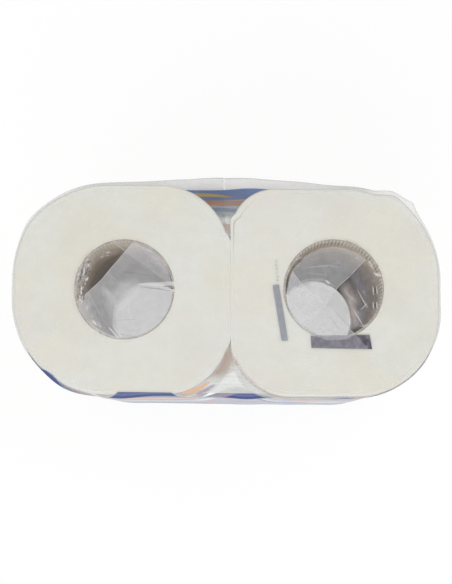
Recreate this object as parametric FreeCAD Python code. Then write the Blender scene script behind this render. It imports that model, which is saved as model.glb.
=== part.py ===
import FreeCAD, Part

import math
import os

from FreeCAD import Vector

# A pack of two kitchen rolls in a clear printed film, standing on its end.
# +Z runs along the rolls, +X from the left roll to the right one, and the front is at -Y.
# The origin is under the middle of the pack, on the surface that it stands on.
# All sizes are in millimetres.

# ---- Rolls: paper wound on a cardboard core, then squashed against each other in the pack ----

ROLL_HEIGHT = 225.0
ROLL_EDGE_RADIUS = 2.0  # the cut edge of the paper, crushed round by the film
ROLL_GAP = 0.4  # between the two rolls, where they press together

LEFT_ROLL_WIDTH = 101.4
LEFT_ROLL_DEPTH = 98.6
RIGHT_ROLL_WIDTH = 97.2
RIGHT_ROLL_DEPTH = 97.6
RIGHT_ROLL_SETBACK = -1.0  # how far the right roll's front face lies behind the left one's

# Each roll's outline is a belt round four corner circles, each of which touches both sides of
# its corner.
LEFT_BACK_OUTER_RADIUS = 43.0
LEFT_BACK_INNER_RADIUS = 33.0
LEFT_FRONT_INNER_RADIUS = 31.0
LEFT_FRONT_OUTER_RADIUS = 44.0
RIGHT_BACK_OUTER_RADIUS = 44.5
RIGHT_BACK_INNER_RADIUS = 20.0
RIGHT_FRONT_INNER_RADIUS = 27.5
RIGHT_FRONT_OUTER_RADIUS = 39.0
LEAST_FLAT = 1.0  # what a corner leaves of the opposite side at least

# ---- Cores: spiral-wound cardboard tubes ----

CORE_OUTER_DIAMETER = 46.5
CORE_WALL = 1.0
CORE_FIT = 0.1  # clearance between the core and the first turn of paper, all round
LEFT_CORE_OFF_CENTRE = (1.3, 0.0)  # across and back from the middle of its roll
RIGHT_CORE_OFF_CENTRE = (-0.7, 1.4)

# ---- Film: one sheet, lapped into a sleeve, with both its ends folded over as on a parcel ----

FILM_THICKNESS = 0.3  # drawn thicker than real film, so that it is a sound solid
FILM_SLACK = 0.3  # between the film and the rolls' sides and tops
FILM_SHOULDER_RADIUS = 2.6  # outside radius where the sleeve turns over a roll's end
FILM_OVERHANG = 73.0  # length of the sleeve past the rolls, which makes the folds at an end
LAP_SEAM_WIDTH = 12.0  # strip where the sheet's two edges overlap, down the back
LAP_SEAM_X = -6.0  # middle of that strip, measured from the middle of the back
LAYERS_AT_AN_END = 3  # a side tuck, the back flap and the front flap, where all of them overlap

LEVEL_WITHIN = 1e-6  # how much an edge may rise from one end to the other and still be level


class Circle:
    """One corner of an outline."""

    def __init__(self, x, y, radius):
        self.x = x
        self.y = y
        self.radius = radius

    def grown(self, distance):
        return Circle(self.x, self.y, self.radius + distance)

    def point(self, angle, z):
        """The point of the circle that faces the angle, at height z."""
        return Vector(
            self.x + self.radius * math.cos(angle),
            self.y + self.radius * math.sin(angle),
            z,
        )


def tangent_facing(one, other):
    """The angle that the outer tangent faces as a belt runs anticlockwise from one to other."""
    across = other.x - one.x
    back = other.y - one.y
    distance = math.hypot(across, back)
    lean = math.asin((one.radius - other.radius) / distance)
    return math.atan2(back, across) - math.pi / 2 + lean


def belt(circles, z):
    """The face inside a belt pulled tight round the circles, at height z. It skips a circle
    that the belt doesn't touch."""
    start = min(circles, key=lambda c: c.y - c.radius)
    around = [start]
    facings = []
    facing = -math.pi / 2
    while len(around) == 1 or around[-1] is not start:
        here = around[-1]
        turns = []
        for other in circles:
            if other is here:
                continue
            turn = (tangent_facing(here, other) - facing) % (2 * math.pi)
            turns.append((turn, other))
        turn, nearest = min(turns, key=lambda t: t[0])
        facing += turn
        facings.append(facing)
        around.append(nearest)

    edges = []
    arriving = facings[-1] - 2 * math.pi
    for circle, following, leaving in zip(around[:-1], around[1:], facings):
        middle = (arriving + leaving) / 2
        arc = Part.Arc(
            circle.point(arriving, z),
            circle.point(middle, z),
            circle.point(leaving, z),
        )
        edges.append(arc.toShape())
        run = Part.LineSegment(circle.point(leaving, z), following.point(leaving, z))
        edges.append(run.toShape())
        arriving = leaving
    return Part.Face(Part.Wire(edges))


def grown(circles, distance):
    return [circle.grown(distance) for circle in circles]


def block(circles, low, high, edge_radius):
    """An upright solid inside the belt, with the edges of its two ends rounded."""
    solid = belt(circles, low).extrude(Vector(0, 0, high - low))
    end_edges = []
    for edge in solid.Edges:
        rise = edge.BoundBox.ZLength
        if rise < LEVEL_WITHIN:
            end_edges.append(edge)
    return solid.makeFillet(edge_radius, end_edges)


def plate(points, low, high):
    """A flat plate between two heights, with straight sides through the points."""
    corners = [Vector(x, y, low) for x, y in points]
    outline = Part.makePolygon(corners + corners[:1])
    return Part.Face(outline).extrude(Vector(0, 0, high - low))


# ---- Heights ----

ROLL_BOTTOM = LAYERS_AT_AN_END * FILM_THICKNESS
ROLL_TOP = ROLL_BOTTOM + ROLL_HEIGHT
SLEEVE_BOTTOM = ROLL_BOTTOM - FILM_THICKNESS
SLEEVE_TOP = ROLL_TOP + FILM_SLACK + FILM_THICKNESS

# ---- Plan: where the rolls and their corners lie ----

PACK_WIDTH = LEFT_ROLL_WIDTH + ROLL_GAP + RIGHT_ROLL_WIDTH
LEFT_ROLL_LEFT = -PACK_WIDTH / 2
LEFT_ROLL_RIGHT = LEFT_ROLL_LEFT + LEFT_ROLL_WIDTH
RIGHT_ROLL_LEFT = LEFT_ROLL_RIGHT + ROLL_GAP
RIGHT_ROLL_RIGHT = RIGHT_ROLL_LEFT + RIGHT_ROLL_WIDTH
LEFT_ROLL_FRONT = -LEFT_ROLL_DEPTH / 2
LEFT_ROLL_BACK = LEFT_ROLL_FRONT + LEFT_ROLL_DEPTH
RIGHT_ROLL_FRONT = LEFT_ROLL_FRONT + RIGHT_ROLL_SETBACK
RIGHT_ROLL_BACK = RIGHT_ROLL_FRONT + RIGHT_ROLL_DEPTH


def roll_corners(left, right, front, back, radii):
    """The circles in a roll's four corners, anticlockwise from the left front. Each stays
    short of the opposite side, because a wider one would reach past it."""
    largest = (min(right - left, back - front) - LEAST_FLAT) / 2
    front_left, front_right, back_right, back_left = (min(radius, largest) for radius in radii)
    return [
        Circle(left + front_left, front + front_left, front_left),
        Circle(right - front_right, front + front_right, front_right),
        Circle(right - back_right, back - back_right, back_right),
        Circle(left + back_left, back - back_left, back_left),
    ]


left_corners = roll_corners(
    LEFT_ROLL_LEFT,
    LEFT_ROLL_RIGHT,
    LEFT_ROLL_FRONT,
    LEFT_ROLL_BACK,
    [
        LEFT_FRONT_OUTER_RADIUS,
        LEFT_FRONT_INNER_RADIUS,
        LEFT_BACK_INNER_RADIUS,
        LEFT_BACK_OUTER_RADIUS,
    ],
)
right_corners = roll_corners(
    RIGHT_ROLL_LEFT,
    RIGHT_ROLL_RIGHT,
    RIGHT_ROLL_FRONT,
    RIGHT_ROLL_BACK,
    [
        RIGHT_FRONT_INNER_RADIUS,
        RIGHT_FRONT_OUTER_RADIUS,
        RIGHT_BACK_OUTER_RADIUS,
        RIGHT_BACK_INNER_RADIUS,
    ],
)


# ---- Paper and cores ----


def roll_and_core(corners, middle, off_centre):
    """One roll of paper with its bore, and the tube that the bore holds."""
    axis = Vector(middle[0] + off_centre[0], middle[1] + off_centre[1], ROLL_BOTTOM)
    outer = CORE_OUTER_DIAMETER / 2
    paper = block(corners, ROLL_BOTTOM, ROLL_TOP, ROLL_EDGE_RADIUS)
    paper = paper.cut(Part.makeCylinder(outer + CORE_FIT, ROLL_HEIGHT, axis))
    tube = Part.makeCylinder(outer, ROLL_HEIGHT, axis)
    tube = tube.cut(Part.makeCylinder(outer - CORE_WALL, ROLL_HEIGHT, axis))
    return paper, tube


left_middle = (
    (LEFT_ROLL_LEFT + LEFT_ROLL_RIGHT) / 2,
    (LEFT_ROLL_FRONT + LEFT_ROLL_BACK) / 2,
)
right_middle = (
    (RIGHT_ROLL_LEFT + RIGHT_ROLL_RIGHT) / 2,
    (RIGHT_ROLL_FRONT + RIGHT_ROLL_BACK) / 2,
)
left_roll, left_core = roll_and_core(left_corners, left_middle, LEFT_CORE_OFF_CENTRE)
right_roll, right_core = roll_and_core(right_corners, right_middle, RIGHT_CORE_OFF_CENTRE)


# ---- Film ----

all_corners = left_corners + right_corners
inside_film = grown(all_corners, FILM_SLACK)
outside_film = grown(all_corners, FILM_SLACK + FILM_THICKNESS)
outside_seam = grown(outside_film, FILM_THICKNESS)
end_outline = grown(outside_film, -FILM_SHOULDER_RADIUS)
flat_end = belt(end_outline, 0).extrude(Vector(0, 0, FILM_THICKNESS))

film_left = LEFT_ROLL_LEFT - FILM_SLACK
film_right = RIGHT_ROLL_RIGHT + FILM_SLACK
film_front = min(LEFT_ROLL_FRONT, RIGHT_ROLL_FRONT) - FILM_SLACK
film_back = max(LEFT_ROLL_BACK, RIGHT_ROLL_BACK) + FILM_SLACK


def sleeve_wall():
    """The film round the rolls' sides and over their edges, up to the flat of each end."""
    outside = block(outside_film, SLEEVE_BOTTOM, SLEEVE_TOP, FILM_SHOULDER_RADIUS)
    inside = block(
        inside_film,
        ROLL_BOTTOM,
        ROLL_TOP + FILM_SLACK,
        FILM_SHOULDER_RADIUS - FILM_THICKNESS,
    )
    ends = belt(end_outline, SLEEVE_BOTTOM).extrude(Vector(0, 0, SLEEVE_TOP - SLEEVE_BOTTOM))
    return outside.cut(inside).cut(ends)


def lap_seam():
    """The second layer of film where the sheet's edges overlap, down the back."""
    low = SLEEVE_BOTTOM + FILM_SHOULDER_RADIUS
    high = SLEEVE_TOP - FILM_SHOULDER_RADIUS
    up = Vector(0, 0, high - low)
    ring = belt(outside_seam, low).extrude(up).cut(belt(outside_film, low).extrude(up))
    left = LAP_SEAM_X - LAP_SEAM_WIDTH / 2
    right = LAP_SEAM_X + LAP_SEAM_WIDTH / 2
    reach = film_back + FILM_SHOULDER_RADIUS
    strip = [(left, 0), (right, 0), (right, reach), (left, reach)]
    return ring.common(plate(strip, low, high))


def end_flap(edge_y, inward):
    """The part of an end that the flap from the edge at edge_y covers. Its sides slope in at
    45 degrees from the corners, because the side tucks pull them in."""
    far_y = edge_y + inward * FILM_OVERHANG
    outline = [
        (film_left, edge_y),
        (film_right, edge_y),
        (film_right - FILM_OVERHANG, far_y),
        (film_left + FILM_OVERHANG, far_y),
    ]
    return plate(outline, 0, FILM_THICKNESS).common(flat_end)


def side_tuck(edge_x, inward):
    """The part of an end that the side tucked in from the edge at edge_x covers."""
    far_x = edge_x + inward * FILM_OVERHANG
    outline = [
        (edge_x, film_front),
        (far_x, film_front),
        (far_x, film_back),
        (edge_x, film_back),
    ]
    return plate(outline, 0, FILM_THICKNESS).common(flat_end)


def levels_of_folds():
    """What the folds of an end add on its first layer, level by level. The side tucks, the
    back flap and the front flap are laid one on another, and each is one level up wherever it
    covers another."""
    folds = [
        side_tuck(film_left, 1),
        side_tuck(film_right, -1),
        end_flap(film_back, -1),
        end_flap(film_front, 1),
    ]
    levels = [folds[0]]
    for fold in folds[1:]:
        lifted = [level.common(fold) for level in levels]
        levels[0] = levels[0].fuse(fold)
        for above, covered in enumerate(lifted, start=1):
            if covered.Volume == 0:
                continue
            if above == len(levels):
                levels.append(covered)
            else:
                levels[above] = levels[above].fuse(covered)
    return levels[1:]


def folded_end(folds, underside, outwards):
    """The flat of one end: a first layer, whose underside is at the height given, and the
    folds on it, each level a film's thickness further outwards."""
    layers = []
    for above, level in enumerate([flat_end] + folds):
        layer = level.copy()
        layer.translate(Vector(0, 0, underside + outwards * above * FILM_THICKNESS))
        layers.append(layer)
    return layers[0].fuse(layers[1:]).removeSplitter()


# The film is one sheet. It is three solids that meet face to face, the sleeve and the flat of
# each end, so that each of them is a simple shape.
sleeve = sleeve_wall().fuse(lap_seam()).removeSplitter()
end_folds = levels_of_folds()
top_end = folded_end(end_folds, SLEEVE_TOP - FILM_THICKNESS, 1)
bottom_end = folded_end(end_folds, SLEEVE_BOTTOM, -1)

# ---- Centre the pack over the origin, and write each piece ----

footprint = sleeve.optimalBoundingBox(False, False).Center
centring = Vector(-footprint.x, -footprint.y, 0)

pieces = {
    "film_sleeve": sleeve,
    "film_top_end": top_end,
    "film_bottom_end": bottom_end,
    "left_roll": left_roll,
    "right_roll": right_roll,
    "left_core": left_core,
    "right_core": right_core,
}

os.makedirs("parts", exist_ok=True)
for name, shape in pieces.items():
    if len(shape.Solids) != 1 or not shape.isValid():
        raise RuntimeError(f"{name} isn't one sound solid")
    solid = shape.Solids[0]
    solid.translate(centring)
    solid.exportStep(f"parts/{name}.step")
    box = solid.optimalBoundingBox(False, False)
    size = f"{box.XLength:.2f} x {box.YLength:.2f} x {box.ZLength:.2f} mm"
    print(f"{name}: {size}, volume {solid.Volume / 1000:.2f} cm3")
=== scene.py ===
# %% [markdown]
# # A pack of two kitchen rolls in printed film
# Two rolls of paper stand side by side in one sheet of clear, printed film. The sheet is
# lapped into a sleeve round them, and both its ends are folded over as on a parcel.
# The CAD model has the true sizes, so it is loaded first and everything is built inside it.
# Sizes are in metres, +Z runs along the rolls, and the front of the pack is at -Y.

# %% Load the CAD model
import math

import bmesh
import bpy
import numpy as np
from mathutils import Matrix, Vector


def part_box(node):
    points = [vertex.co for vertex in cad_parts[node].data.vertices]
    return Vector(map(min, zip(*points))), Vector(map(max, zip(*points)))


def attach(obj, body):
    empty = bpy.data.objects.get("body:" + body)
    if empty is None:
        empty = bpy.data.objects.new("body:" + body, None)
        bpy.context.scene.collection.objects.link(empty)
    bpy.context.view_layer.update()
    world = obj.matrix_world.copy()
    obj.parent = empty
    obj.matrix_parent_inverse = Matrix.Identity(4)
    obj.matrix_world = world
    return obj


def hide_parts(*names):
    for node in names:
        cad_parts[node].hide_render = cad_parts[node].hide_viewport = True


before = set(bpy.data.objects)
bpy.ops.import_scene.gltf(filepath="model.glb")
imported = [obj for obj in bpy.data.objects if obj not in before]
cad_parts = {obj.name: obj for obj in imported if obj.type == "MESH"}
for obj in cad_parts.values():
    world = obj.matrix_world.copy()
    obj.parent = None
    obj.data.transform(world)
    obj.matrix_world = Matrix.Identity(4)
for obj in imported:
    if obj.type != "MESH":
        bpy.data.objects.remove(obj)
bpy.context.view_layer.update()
MM = 0.001

# %% [markdown]
# ## The view
# The camera hangs above the pack and a little in front of it, so that it looks down on the
# ends of the rolls and into their bores. A long lens keeps the rolls from spreading apart.
# The up direction of the picture is the back of the pack, so the camera is turned by a
# matrix made from three directions instead of by angles.

# %% Camera
def aimed(place, target, up):
    """The matrix of a camera: its -Z looks from place to target and its Y leans to up."""
    place = np.array(place, float)
    back = place - np.array(target, float)
    back /= np.linalg.norm(back)
    right = np.cross(up, back)
    right /= np.linalg.norm(right)
    matrix = np.eye(4)
    matrix[:3, 0] = right
    matrix[:3, 1] = np.cross(back, right)
    matrix[:3, 2] = back
    matrix[:3, 3] = place
    return Matrix(matrix.tolist())


camera_data = bpy.data.cameras.new("view")
camera_data.lens = 105.8
camera_data.sensor_width = 36.0
camera = bpy.data.objects.new("view", camera_data)
camera.matrix_world = aimed((0.0065, -0.0637, 1.024), (0.0, -0.0009, 0.226), (0, 1, 0))
bpy.context.scene.collection.objects.link(camera)
bpy.context.scene.camera = camera
print("camera", round(camera.location.z, 3), "m above the floor, lens", camera_data.lens, "mm")

# %% [markdown]
# ## Helpers for meshes
# Each piece is a grid of points, a function of two parameters that numpy works out for all
# of them at once. A piece may have several grids, such as the folds of the film.
# Each point also carries its place on the flat sheet or the winding, as a UV map, so that a
# pattern can follow the surface.

# %% Grids to meshes
def quads(rows, columns, start=0, turned=False):
    """Corners of the faces between neighbouring points of a grid, in one array."""
    index = np.arange(rows * columns).reshape(rows, columns) + start
    corners = [index[:-1, :-1], index[:-1, 1:], index[1:, 1:], index[1:, :-1]]
    if turned:
        corners = corners[::-1]
    return np.stack(corners, axis=-1).reshape(-1, 4)


def mesh_piece(name, grids):
    """A mesh object from grids. Each is a dict: points (rows, columns, 3), uv (rows,
    columns, 2), turned, when its outside is to be swapped, values, which holds a number per
    point, and material, the slot that its faces take."""
    points = np.concatenate([g["points"].reshape(-1, 3) for g in grids])
    uv = np.concatenate([g["uv"].reshape(-1, 2) for g in grids])
    faces = []
    slots = []
    start = 0
    for g in grids:
        rows, columns = g["points"].shape[:2]
        faces.append(quads(rows, columns, start, g.get("turned", False)))
        slots.append(np.full(len(faces[-1]), g.get("material", 0), np.int32))
        start += rows * columns
    faces = np.concatenate(faces)
    mesh = bpy.data.meshes.new(name)
    mesh.vertices.add(len(points))
    mesh.vertices.foreach_set("co", points.astype(np.float32).ravel())
    mesh.loops.add(faces.size)
    mesh.loops.foreach_set("vertex_index", faces.astype(np.int32).ravel())
    mesh.polygons.add(len(faces))
    mesh.polygons.foreach_set("loop_start", np.arange(0, faces.size, 4, dtype=np.int32))
    mesh.polygons.foreach_set("use_smooth", np.ones(len(faces), bool))
    mesh.polygons.foreach_set("material_index", np.concatenate(slots))
    layer = mesh.uv_layers.new(name="sheet")
    layer.data.foreach_set("uv", uv[faces.ravel()].astype(np.float32).ravel())
    for key in grids[0].get("values", {}):
        every = np.concatenate([g["values"][key].ravel() for g in grids])
        attribute = mesh.attributes.new(key, "FLOAT", "POINT")
        attribute.data.foreach_set("value", every.astype(np.float32))
    mesh.update(calc_edges=True)
    piece = bpy.data.objects.new(name, mesh)
    bpy.context.scene.collection.objects.link(piece)
    print(name, len(points), "points,", len(faces), "faces")
    return piece


def weld(piece, distance=1e-6):
    """Joins the points that lie on each other, where a grid closes on itself."""
    work = bmesh.new()
    work.from_mesh(piece.data)
    bmesh.ops.remove_doubles(work, verts=work.verts, dist=distance)
    work.to_mesh(piece.data)
    work.free()


# %% Smooth steps and unevenness
def step(value, low, high):
    """0 below low, 1 above high, and a smooth S between them."""
    t = np.clip((value - low) / (high - low), 0, 1)
    return t * t * (3 - 2 * t)


def hump(value, middle, width):
    """A bell that is 1 at the middle and fades out over the width."""
    return np.exp(-(((value - middle) / width) ** 2))


def ripples(x, y, longest, count, seed):
    """Soft unevenness from -1 to 1: a sum of sine waves that run in random directions, each
    shorter and lower than the one before."""
    random = np.random.default_rng(seed)
    total = np.zeros(np.broadcast(x, y).shape)
    weight = 0.0
    for k in range(count):
        length = longest / 1.35**k
        turn = random.uniform(0, 2 * math.pi)
        shift = random.uniform(0, 2 * math.pi)
        along = x * math.cos(turn) + y * math.sin(turn)
        total += np.sin(2 * math.pi * along / length + shift) / 1.2**k
        weight += 1 / 1.2**k
    return total / weight * 1.6


# %% [markdown]
# ## Outlines
# The rolls are squashed in the pack, so their outlines are neither round nor square. They
# are read from the CAD nodes, and then the pieces can't be another size. An outline that
# bulges everywhere lies inside all of its tangent lines, and that gives a formula for it.

# %% Outlines from the CAD nodes
def vertices_of(node):
    """All vertices of a CAD node, as an array."""
    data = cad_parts[node].data
    values = np.zeros(len(data.vertices) * 3, np.float32)
    data.vertices.foreach_get("co", values)
    return values.reshape(-1, 3).astype(float)


def reach(node, centre, angles):
    """How far a node's outline lies from the centre at each angle. The tangent line that
    faces a direction is as far out as the node's furthest vertex that way, and the outline
    is where the ray at the angle meets the first of the tangent lines."""
    flat = vertices_of(node)[:, :2] - np.array(centre)
    facing = np.linspace(0, 2 * math.pi, 1440, endpoint=False)
    tangents = (flat @ np.stack([np.cos(facing), np.sin(facing)])).max(axis=0)
    lean = np.cos(facing[None, :] - np.asarray(angles).reshape(-1, 1))
    along = np.where(lean > 0.25, tangents[None, :] / np.maximum(lean, 0.25), np.inf)
    return along.min(axis=1)


def middle(node):
    """The middle of a node's box, seen from above."""
    low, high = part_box(node)
    return (low.x + high.x) / 2, (low.y + high.y) / 2


CORE_MIDDLES = [middle("left_core"), middle("right_core")]
ROLL_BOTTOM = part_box("left_roll")[0].z
ROLL_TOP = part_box("left_roll")[1].z
CORE_RADIUS = (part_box("left_core")[1].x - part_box("left_core")[0].x) / 2
CORE_WALL = 1.0 * MM
print("rolls stand from", round(ROLL_BOTTOM, 4), "to", round(ROLL_TOP, 4))
print("core radius", round(CORE_RADIUS, 5), "middles", CORE_MIDDLES)

# %% [markdown]
# ## The rolls
# A roll is one long web of tissue wound on its core. From its end you see the cut edges of
# about ninety turns, pressed flat, and from its side the embossed outer turn. It is made as
# one profile carried round the core: up the bore, across the top end, over the soft outer
# edge, down the side and back across the bottom end. The distance from core to outline
# changes with the angle, so the turns crowd where the roll is squashed, as real ones do.

# %% Roll profile
EDGE = 1.2 * MM  # how far the crushed outer edge of the paper is rounded
LAST_TURN = 0.95  # the share of the way out at which the last turn has come loose
PAD_STEP = 12.0 * MM  # how far the embossed pads are apart
PAD_DEPTH = 0.3 * MM
FLARE_DEPTH = 60 * MM  # how far down a flared corner reaches


def roll_profile():
    """The profile as rows of (share of the way from bore to outline, how far round the outer
    edge from 0 on the end to 1 on the side, height)."""
    ends = np.concatenate(
        [np.linspace(0, 0.06, 5)[:-1], np.linspace(0.06, 0.93, 37)[:-1], np.linspace(0.93, 1, 17)]
    )
    turn = np.linspace(0, 1, 7)
    side = np.linspace(ROLL_TOP - EDGE, ROLL_BOTTOM + EDGE, 116)[1:-1]
    in_bore = (ROLL_BOTTOM + 1.5 * MM, 0.08, 0.15, ROLL_TOP - 1.5 * MM)
    rows = [(0.0, 0.0, height) for height in in_bore]
    rows += [(share, 0.0, ROLL_TOP) for share in ends]
    rows += [(1.0, t, ROLL_TOP) for t in turn[1:]]
    rows += [(1.0, 1.0, height) for height in side]
    rows += [(1.0, t, ROLL_BOTTOM) for t in turn[::-1]]
    rows += [(share, 0.0, ROLL_BOTTOM) for share in ends[::-3]]
    return np.array(rows)


def embossing(around, height):
    """The pressed pattern of the outer turn: rows of rounded pads, each row shifted by half
    a step, as the product of two crossed waves."""
    one = np.sin(2 * math.pi * (around + height) / PAD_STEP)
    other = np.sin(2 * math.pi * (around - height) / PAD_STEP)
    return np.clip(one * other, 0, 1) ** 0.6


# %% Roll piece
def roll_piece(name, node, core_middle, seed, flare, opened, rubbed):
    """One roll. For each angle round the core, in radians, flare gives how far the soft end
    has spread there, opened how far the last turn has come loose, and rubbed how much glue
    and board has rubbed off on the first turns. Where the rolls press on each other their
    soft edges stay square, and they touch."""
    angles = np.linspace(0, 2 * math.pi, 361)
    outline = reach(node, core_middle, angles)
    contact_x = (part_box("left_roll")[1].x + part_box("right_roll")[0].x) / 2
    from_contact = np.abs(core_middle[0] + outline * np.cos(angles) - contact_x)
    pressed = 1 - step(from_contact, 0.3 * MM, 2.2 * MM)
    outline = outline - 0.15 * MM * (1 - pressed)
    outline = outline + pressed * from_contact / np.maximum(np.abs(np.cos(angles)), 0.5)
    edge = (EDGE * (1 - 0.9 * pressed))[None, :]
    profile = roll_profile()
    share = profile[:, 0][:, None]
    turn = profile[:, 1][:, None] * math.pi / 2
    level = profile[:, 2][:, None]
    top = level > ROLL_TOP - 0.1 * MM
    bottom = level < ROLL_BOTTOM + 0.1 * MM
    inset = edge * (1 - np.sin(turn))
    height = level - np.where(top, edge * (1 - np.cos(turn)), 0)
    height = height + np.where(bottom, edge * (1 - np.cos(turn)), 0)
    bore = CORE_RADIUS + 0.1 * MM
    spread = flare(angles)[None, :] * np.exp((height - ROLL_TOP) / FLARE_DEPTH)
    radius = bore + share * (outline[None, :] + spread - inset - bore)
    steps = np.hypot(np.diff(outline * np.cos(angles)), np.diff(outline * np.sin(angles)))
    around = np.concatenate([[0], np.cumsum(steps)])
    on_side = (profile[:, 1][:, None] > 0.999) & ~top & ~bottom
    pads = PAD_DEPTH * (embossing(around[None, :], height) - 1) * (1 - pressed[None, :])
    radius = radius + np.where(on_side, pads, 0)
    x = core_middle[0] + radius * np.cos(angles)[None, :]
    y = core_middle[1] + radius * np.sin(angles)[None, :]
    on_top = (share > 0) & top & (turn < 0.01)
    wave = ripples(x, y, 46 * MM, 7, seed) * 0.2 * MM  # the turns stand unevenly high
    wind = np.sin(2 * math.pi * (share * 16 + ripples(x, y, 60 * MM, 3, seed + 1) * 0.35))
    dip = wave * (1 - pressed[None, :] * step(share, 0.9, 1.0)) - 0.25 * MM + 0.04 * MM * wind
    groove = hump(share, LAST_TURN, 0.007) * opened(angles)[None, :] * on_top
    dip = dip - 0.8 * MM * groove
    dip = np.where(on_top, dip, np.where(top, -0.25 * MM, 0))
    points = np.stack([x, y, height + dip], axis=-1)
    wide = np.broadcast_to(around[None, :] / around[-1], radius.shape)
    far = np.broadcast_to(share, radius.shape) + np.where(on_side, 1 + height, 0)
    uv = np.stack([wide, far], axis=-1)
    near_end = np.where(height > ROLL_TOP / 2, 1.0, 0.0)
    values = {
        "rubbed": near_end * rubbed(angles)[None, :] * (1 - step(share, 0.0, 0.08)),
        "groove": groove * near_end,
    }
    points = np.concatenate([points, points[:1]])
    uv = np.concatenate([uv, uv[:1]])
    values = {key: np.concatenate([value, value[:1]]) for key, value in values.items()}
    piece = mesh_piece(name, [{"points": points, "uv": uv, "turned": True, "values": values}])
    weld(piece)
    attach(piece, "root")
    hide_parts(node)
    return piece


def blunt_corner(angles):
    """How far the right roll's back corner has spread: an S up to it as the angle falls from
    1.18 to 0.97, then a slow fading, down to nothing at 0."""
    rise = step(1.18 - angles, 0, 0.21)
    fall = np.exp(-np.maximum(0.95 - angles, 0) / 0.42)
    return 3.3 * MM * rise * fall * step(angles, 0, 0.35)


left_roll = roll_piece(
    "left_paper",
    "left_roll",
    CORE_MIDDLES[0],
    3,
    flare=lambda a: 0.8 * MM * hump(a, math.radians(144), 0.2),
    opened=lambda a: 0 * a,
    rubbed=lambda a: 0.1 + 0.55 * hump(a, math.radians(155), 0.75),
)
right_roll = roll_piece(
    "right_paper",
    "right_roll",
    CORE_MIDDLES[1],
    8,
    flare=blunt_corner,
    opened=lambda a: hump(a, math.radians(147), 0.2),
    rubbed=lambda a: 0.1 + 0.55 * hump(a, math.radians(60), 0.9),
)

# %% [markdown]
# ## The cores
# A core is a tube of grey-brown board, wound from two strips as a spiral. Its seam shows as
# a slanting line inside, and the cutting blade leaves its rim a little ragged. A wall of
# radius and height is carried round a circle, and the seam is a shallow step along a helix.

# %% Cores
RIM_RIBS = 84  # small ridges round the rim, left by the winding
SPIRAL_PITCH = 78 * MM  # how far the seam climbs in one turn


def core_piece(name, node, core_middle, seed):
    """A tube with a spiral seam. The inner radius changes by a shallow groove where the
    angle and the height run together along the helix."""
    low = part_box(node)[0].z
    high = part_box(node)[1].z
    angles = np.linspace(0, 2 * math.pi, 181)
    heights = np.linspace(low, high, 120)
    inner = CORE_RADIUS - CORE_WALL
    phase = (heights[:, None] / SPIRAL_PITCH + angles[None, :] / (2 * math.pi)) % 1.0
    seam = hump(phase, 0.5, 0.012)
    dents = ripples(angles[None, :] * inner * 0.6, heights[:, None], 60 * MM, 5, seed)
    ribs = np.sin(angles * RIM_RIBS + 2.0 * np.sin(angles * 3))[None, :]
    near_rim = np.exp(-(high - heights[:, None]) / (24 * MM))
    inside = inner - 0.25 * MM * seam + 0.12 * MM * dents + 0.16 * MM * ribs * near_rim
    from_rim = high - heights[:, None]
    lip = 0.33 * MM * np.exp(-from_rim / (3 * MM))
    inside = np.minimum(inside, CORE_RADIUS - 0.45 * MM) + lip
    ragged = 0.12 * MM * np.abs(ripples(angles * inner, angles * 0, 9 * MM, 4, seed + 5))
    inner_height = np.repeat(heights[:, None], len(angles), axis=1)
    inner_height[-1] -= 0.12 * MM + ragged
    outer_height = np.repeat(np.linspace(high, low, 4)[:, None], len(angles), axis=1)
    outer_height[0] -= 0.12 * MM + ragged
    outside = np.full_like(outer_height, CORE_RADIUS)
    radius = np.concatenate([inside, outside, inside[:1]])
    height = np.concatenate([inner_height, outer_height, inner_height[:1]])
    x = core_middle[0] + radius * np.cos(angles)
    y = core_middle[1] + radius * np.sin(angles)
    along = np.broadcast_to(angles / (2 * math.pi), radius.shape)
    points = np.stack([x, y, height], axis=-1)
    uv = np.stack([along, height / SPIRAL_PITCH], axis=-1)
    piece = mesh_piece(name, [{"points": points, "uv": uv, "turned": True}])
    weld(piece)
    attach(piece, "root")
    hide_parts(node)
    return piece


left_core = core_piece("left_tube", "left_core", CORE_MIDDLES[0], 21)
right_core = core_piece("right_tube", "right_core", CORE_MIDDLES[1], 34)

# %% [markdown]
# ## The film
# The film is one sheet. It goes once round the rolls with a lap down the back, and past each
# end of them it stands out as an open sleeve. There the sides are tucked in first, which
# pulls a triangle out of the back and the front at each corner. Then the back is folded
# down, and the front over it. Its folded edges make the X over each bore.
# Every panel of the sheet is a patch between four edges, so the folds lie where a person
# would press them, and each panel lies a little higher than the one that it covers.

# %% Film outline
FILM_TOP = ROLL_TOP + 0.45 * MM  # the lowest layer over the near end
FILM_BOTTOM = ROLL_BOTTOM - 0.22 * MM
SHOULDER = 2.0 * MM

fine = np.linspace(0, 2 * math.pi, 2881)
film_reach = reach("film_sleeve", (0, 0), fine) - 0.1 * MM
film_loop = np.stack([film_reach * np.cos(fine), film_reach * np.sin(fine)], axis=-1)
film_steps = np.linalg.norm(np.diff(film_loop, axis=0), axis=1)
film_along = np.concatenate([[0], np.cumsum(film_steps)])
GIRTH = film_along[-1]
SEAM_ANGLE = math.radians(91.7)  # the sheet starts in the middle of the back
LAP = 12 * MM
print("the film goes", round(GIRTH * 1000, 1), "mm round the rolls")


def along_at(angles):
    """Distance round the sleeve, from the seam, at each angle."""
    angles = np.asarray(angles, float)
    turns = np.floor((angles - SEAM_ANGLE) / (2 * math.pi))
    within = angles - turns * 2 * math.pi
    start = np.interp(SEAM_ANGLE, fine, film_along)
    distance = np.interp(within % (2 * math.pi), fine, film_along) - start
    distance = np.where(distance < -1e-9, distance + GIRTH, distance)
    return distance + turns * GIRTH


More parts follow.
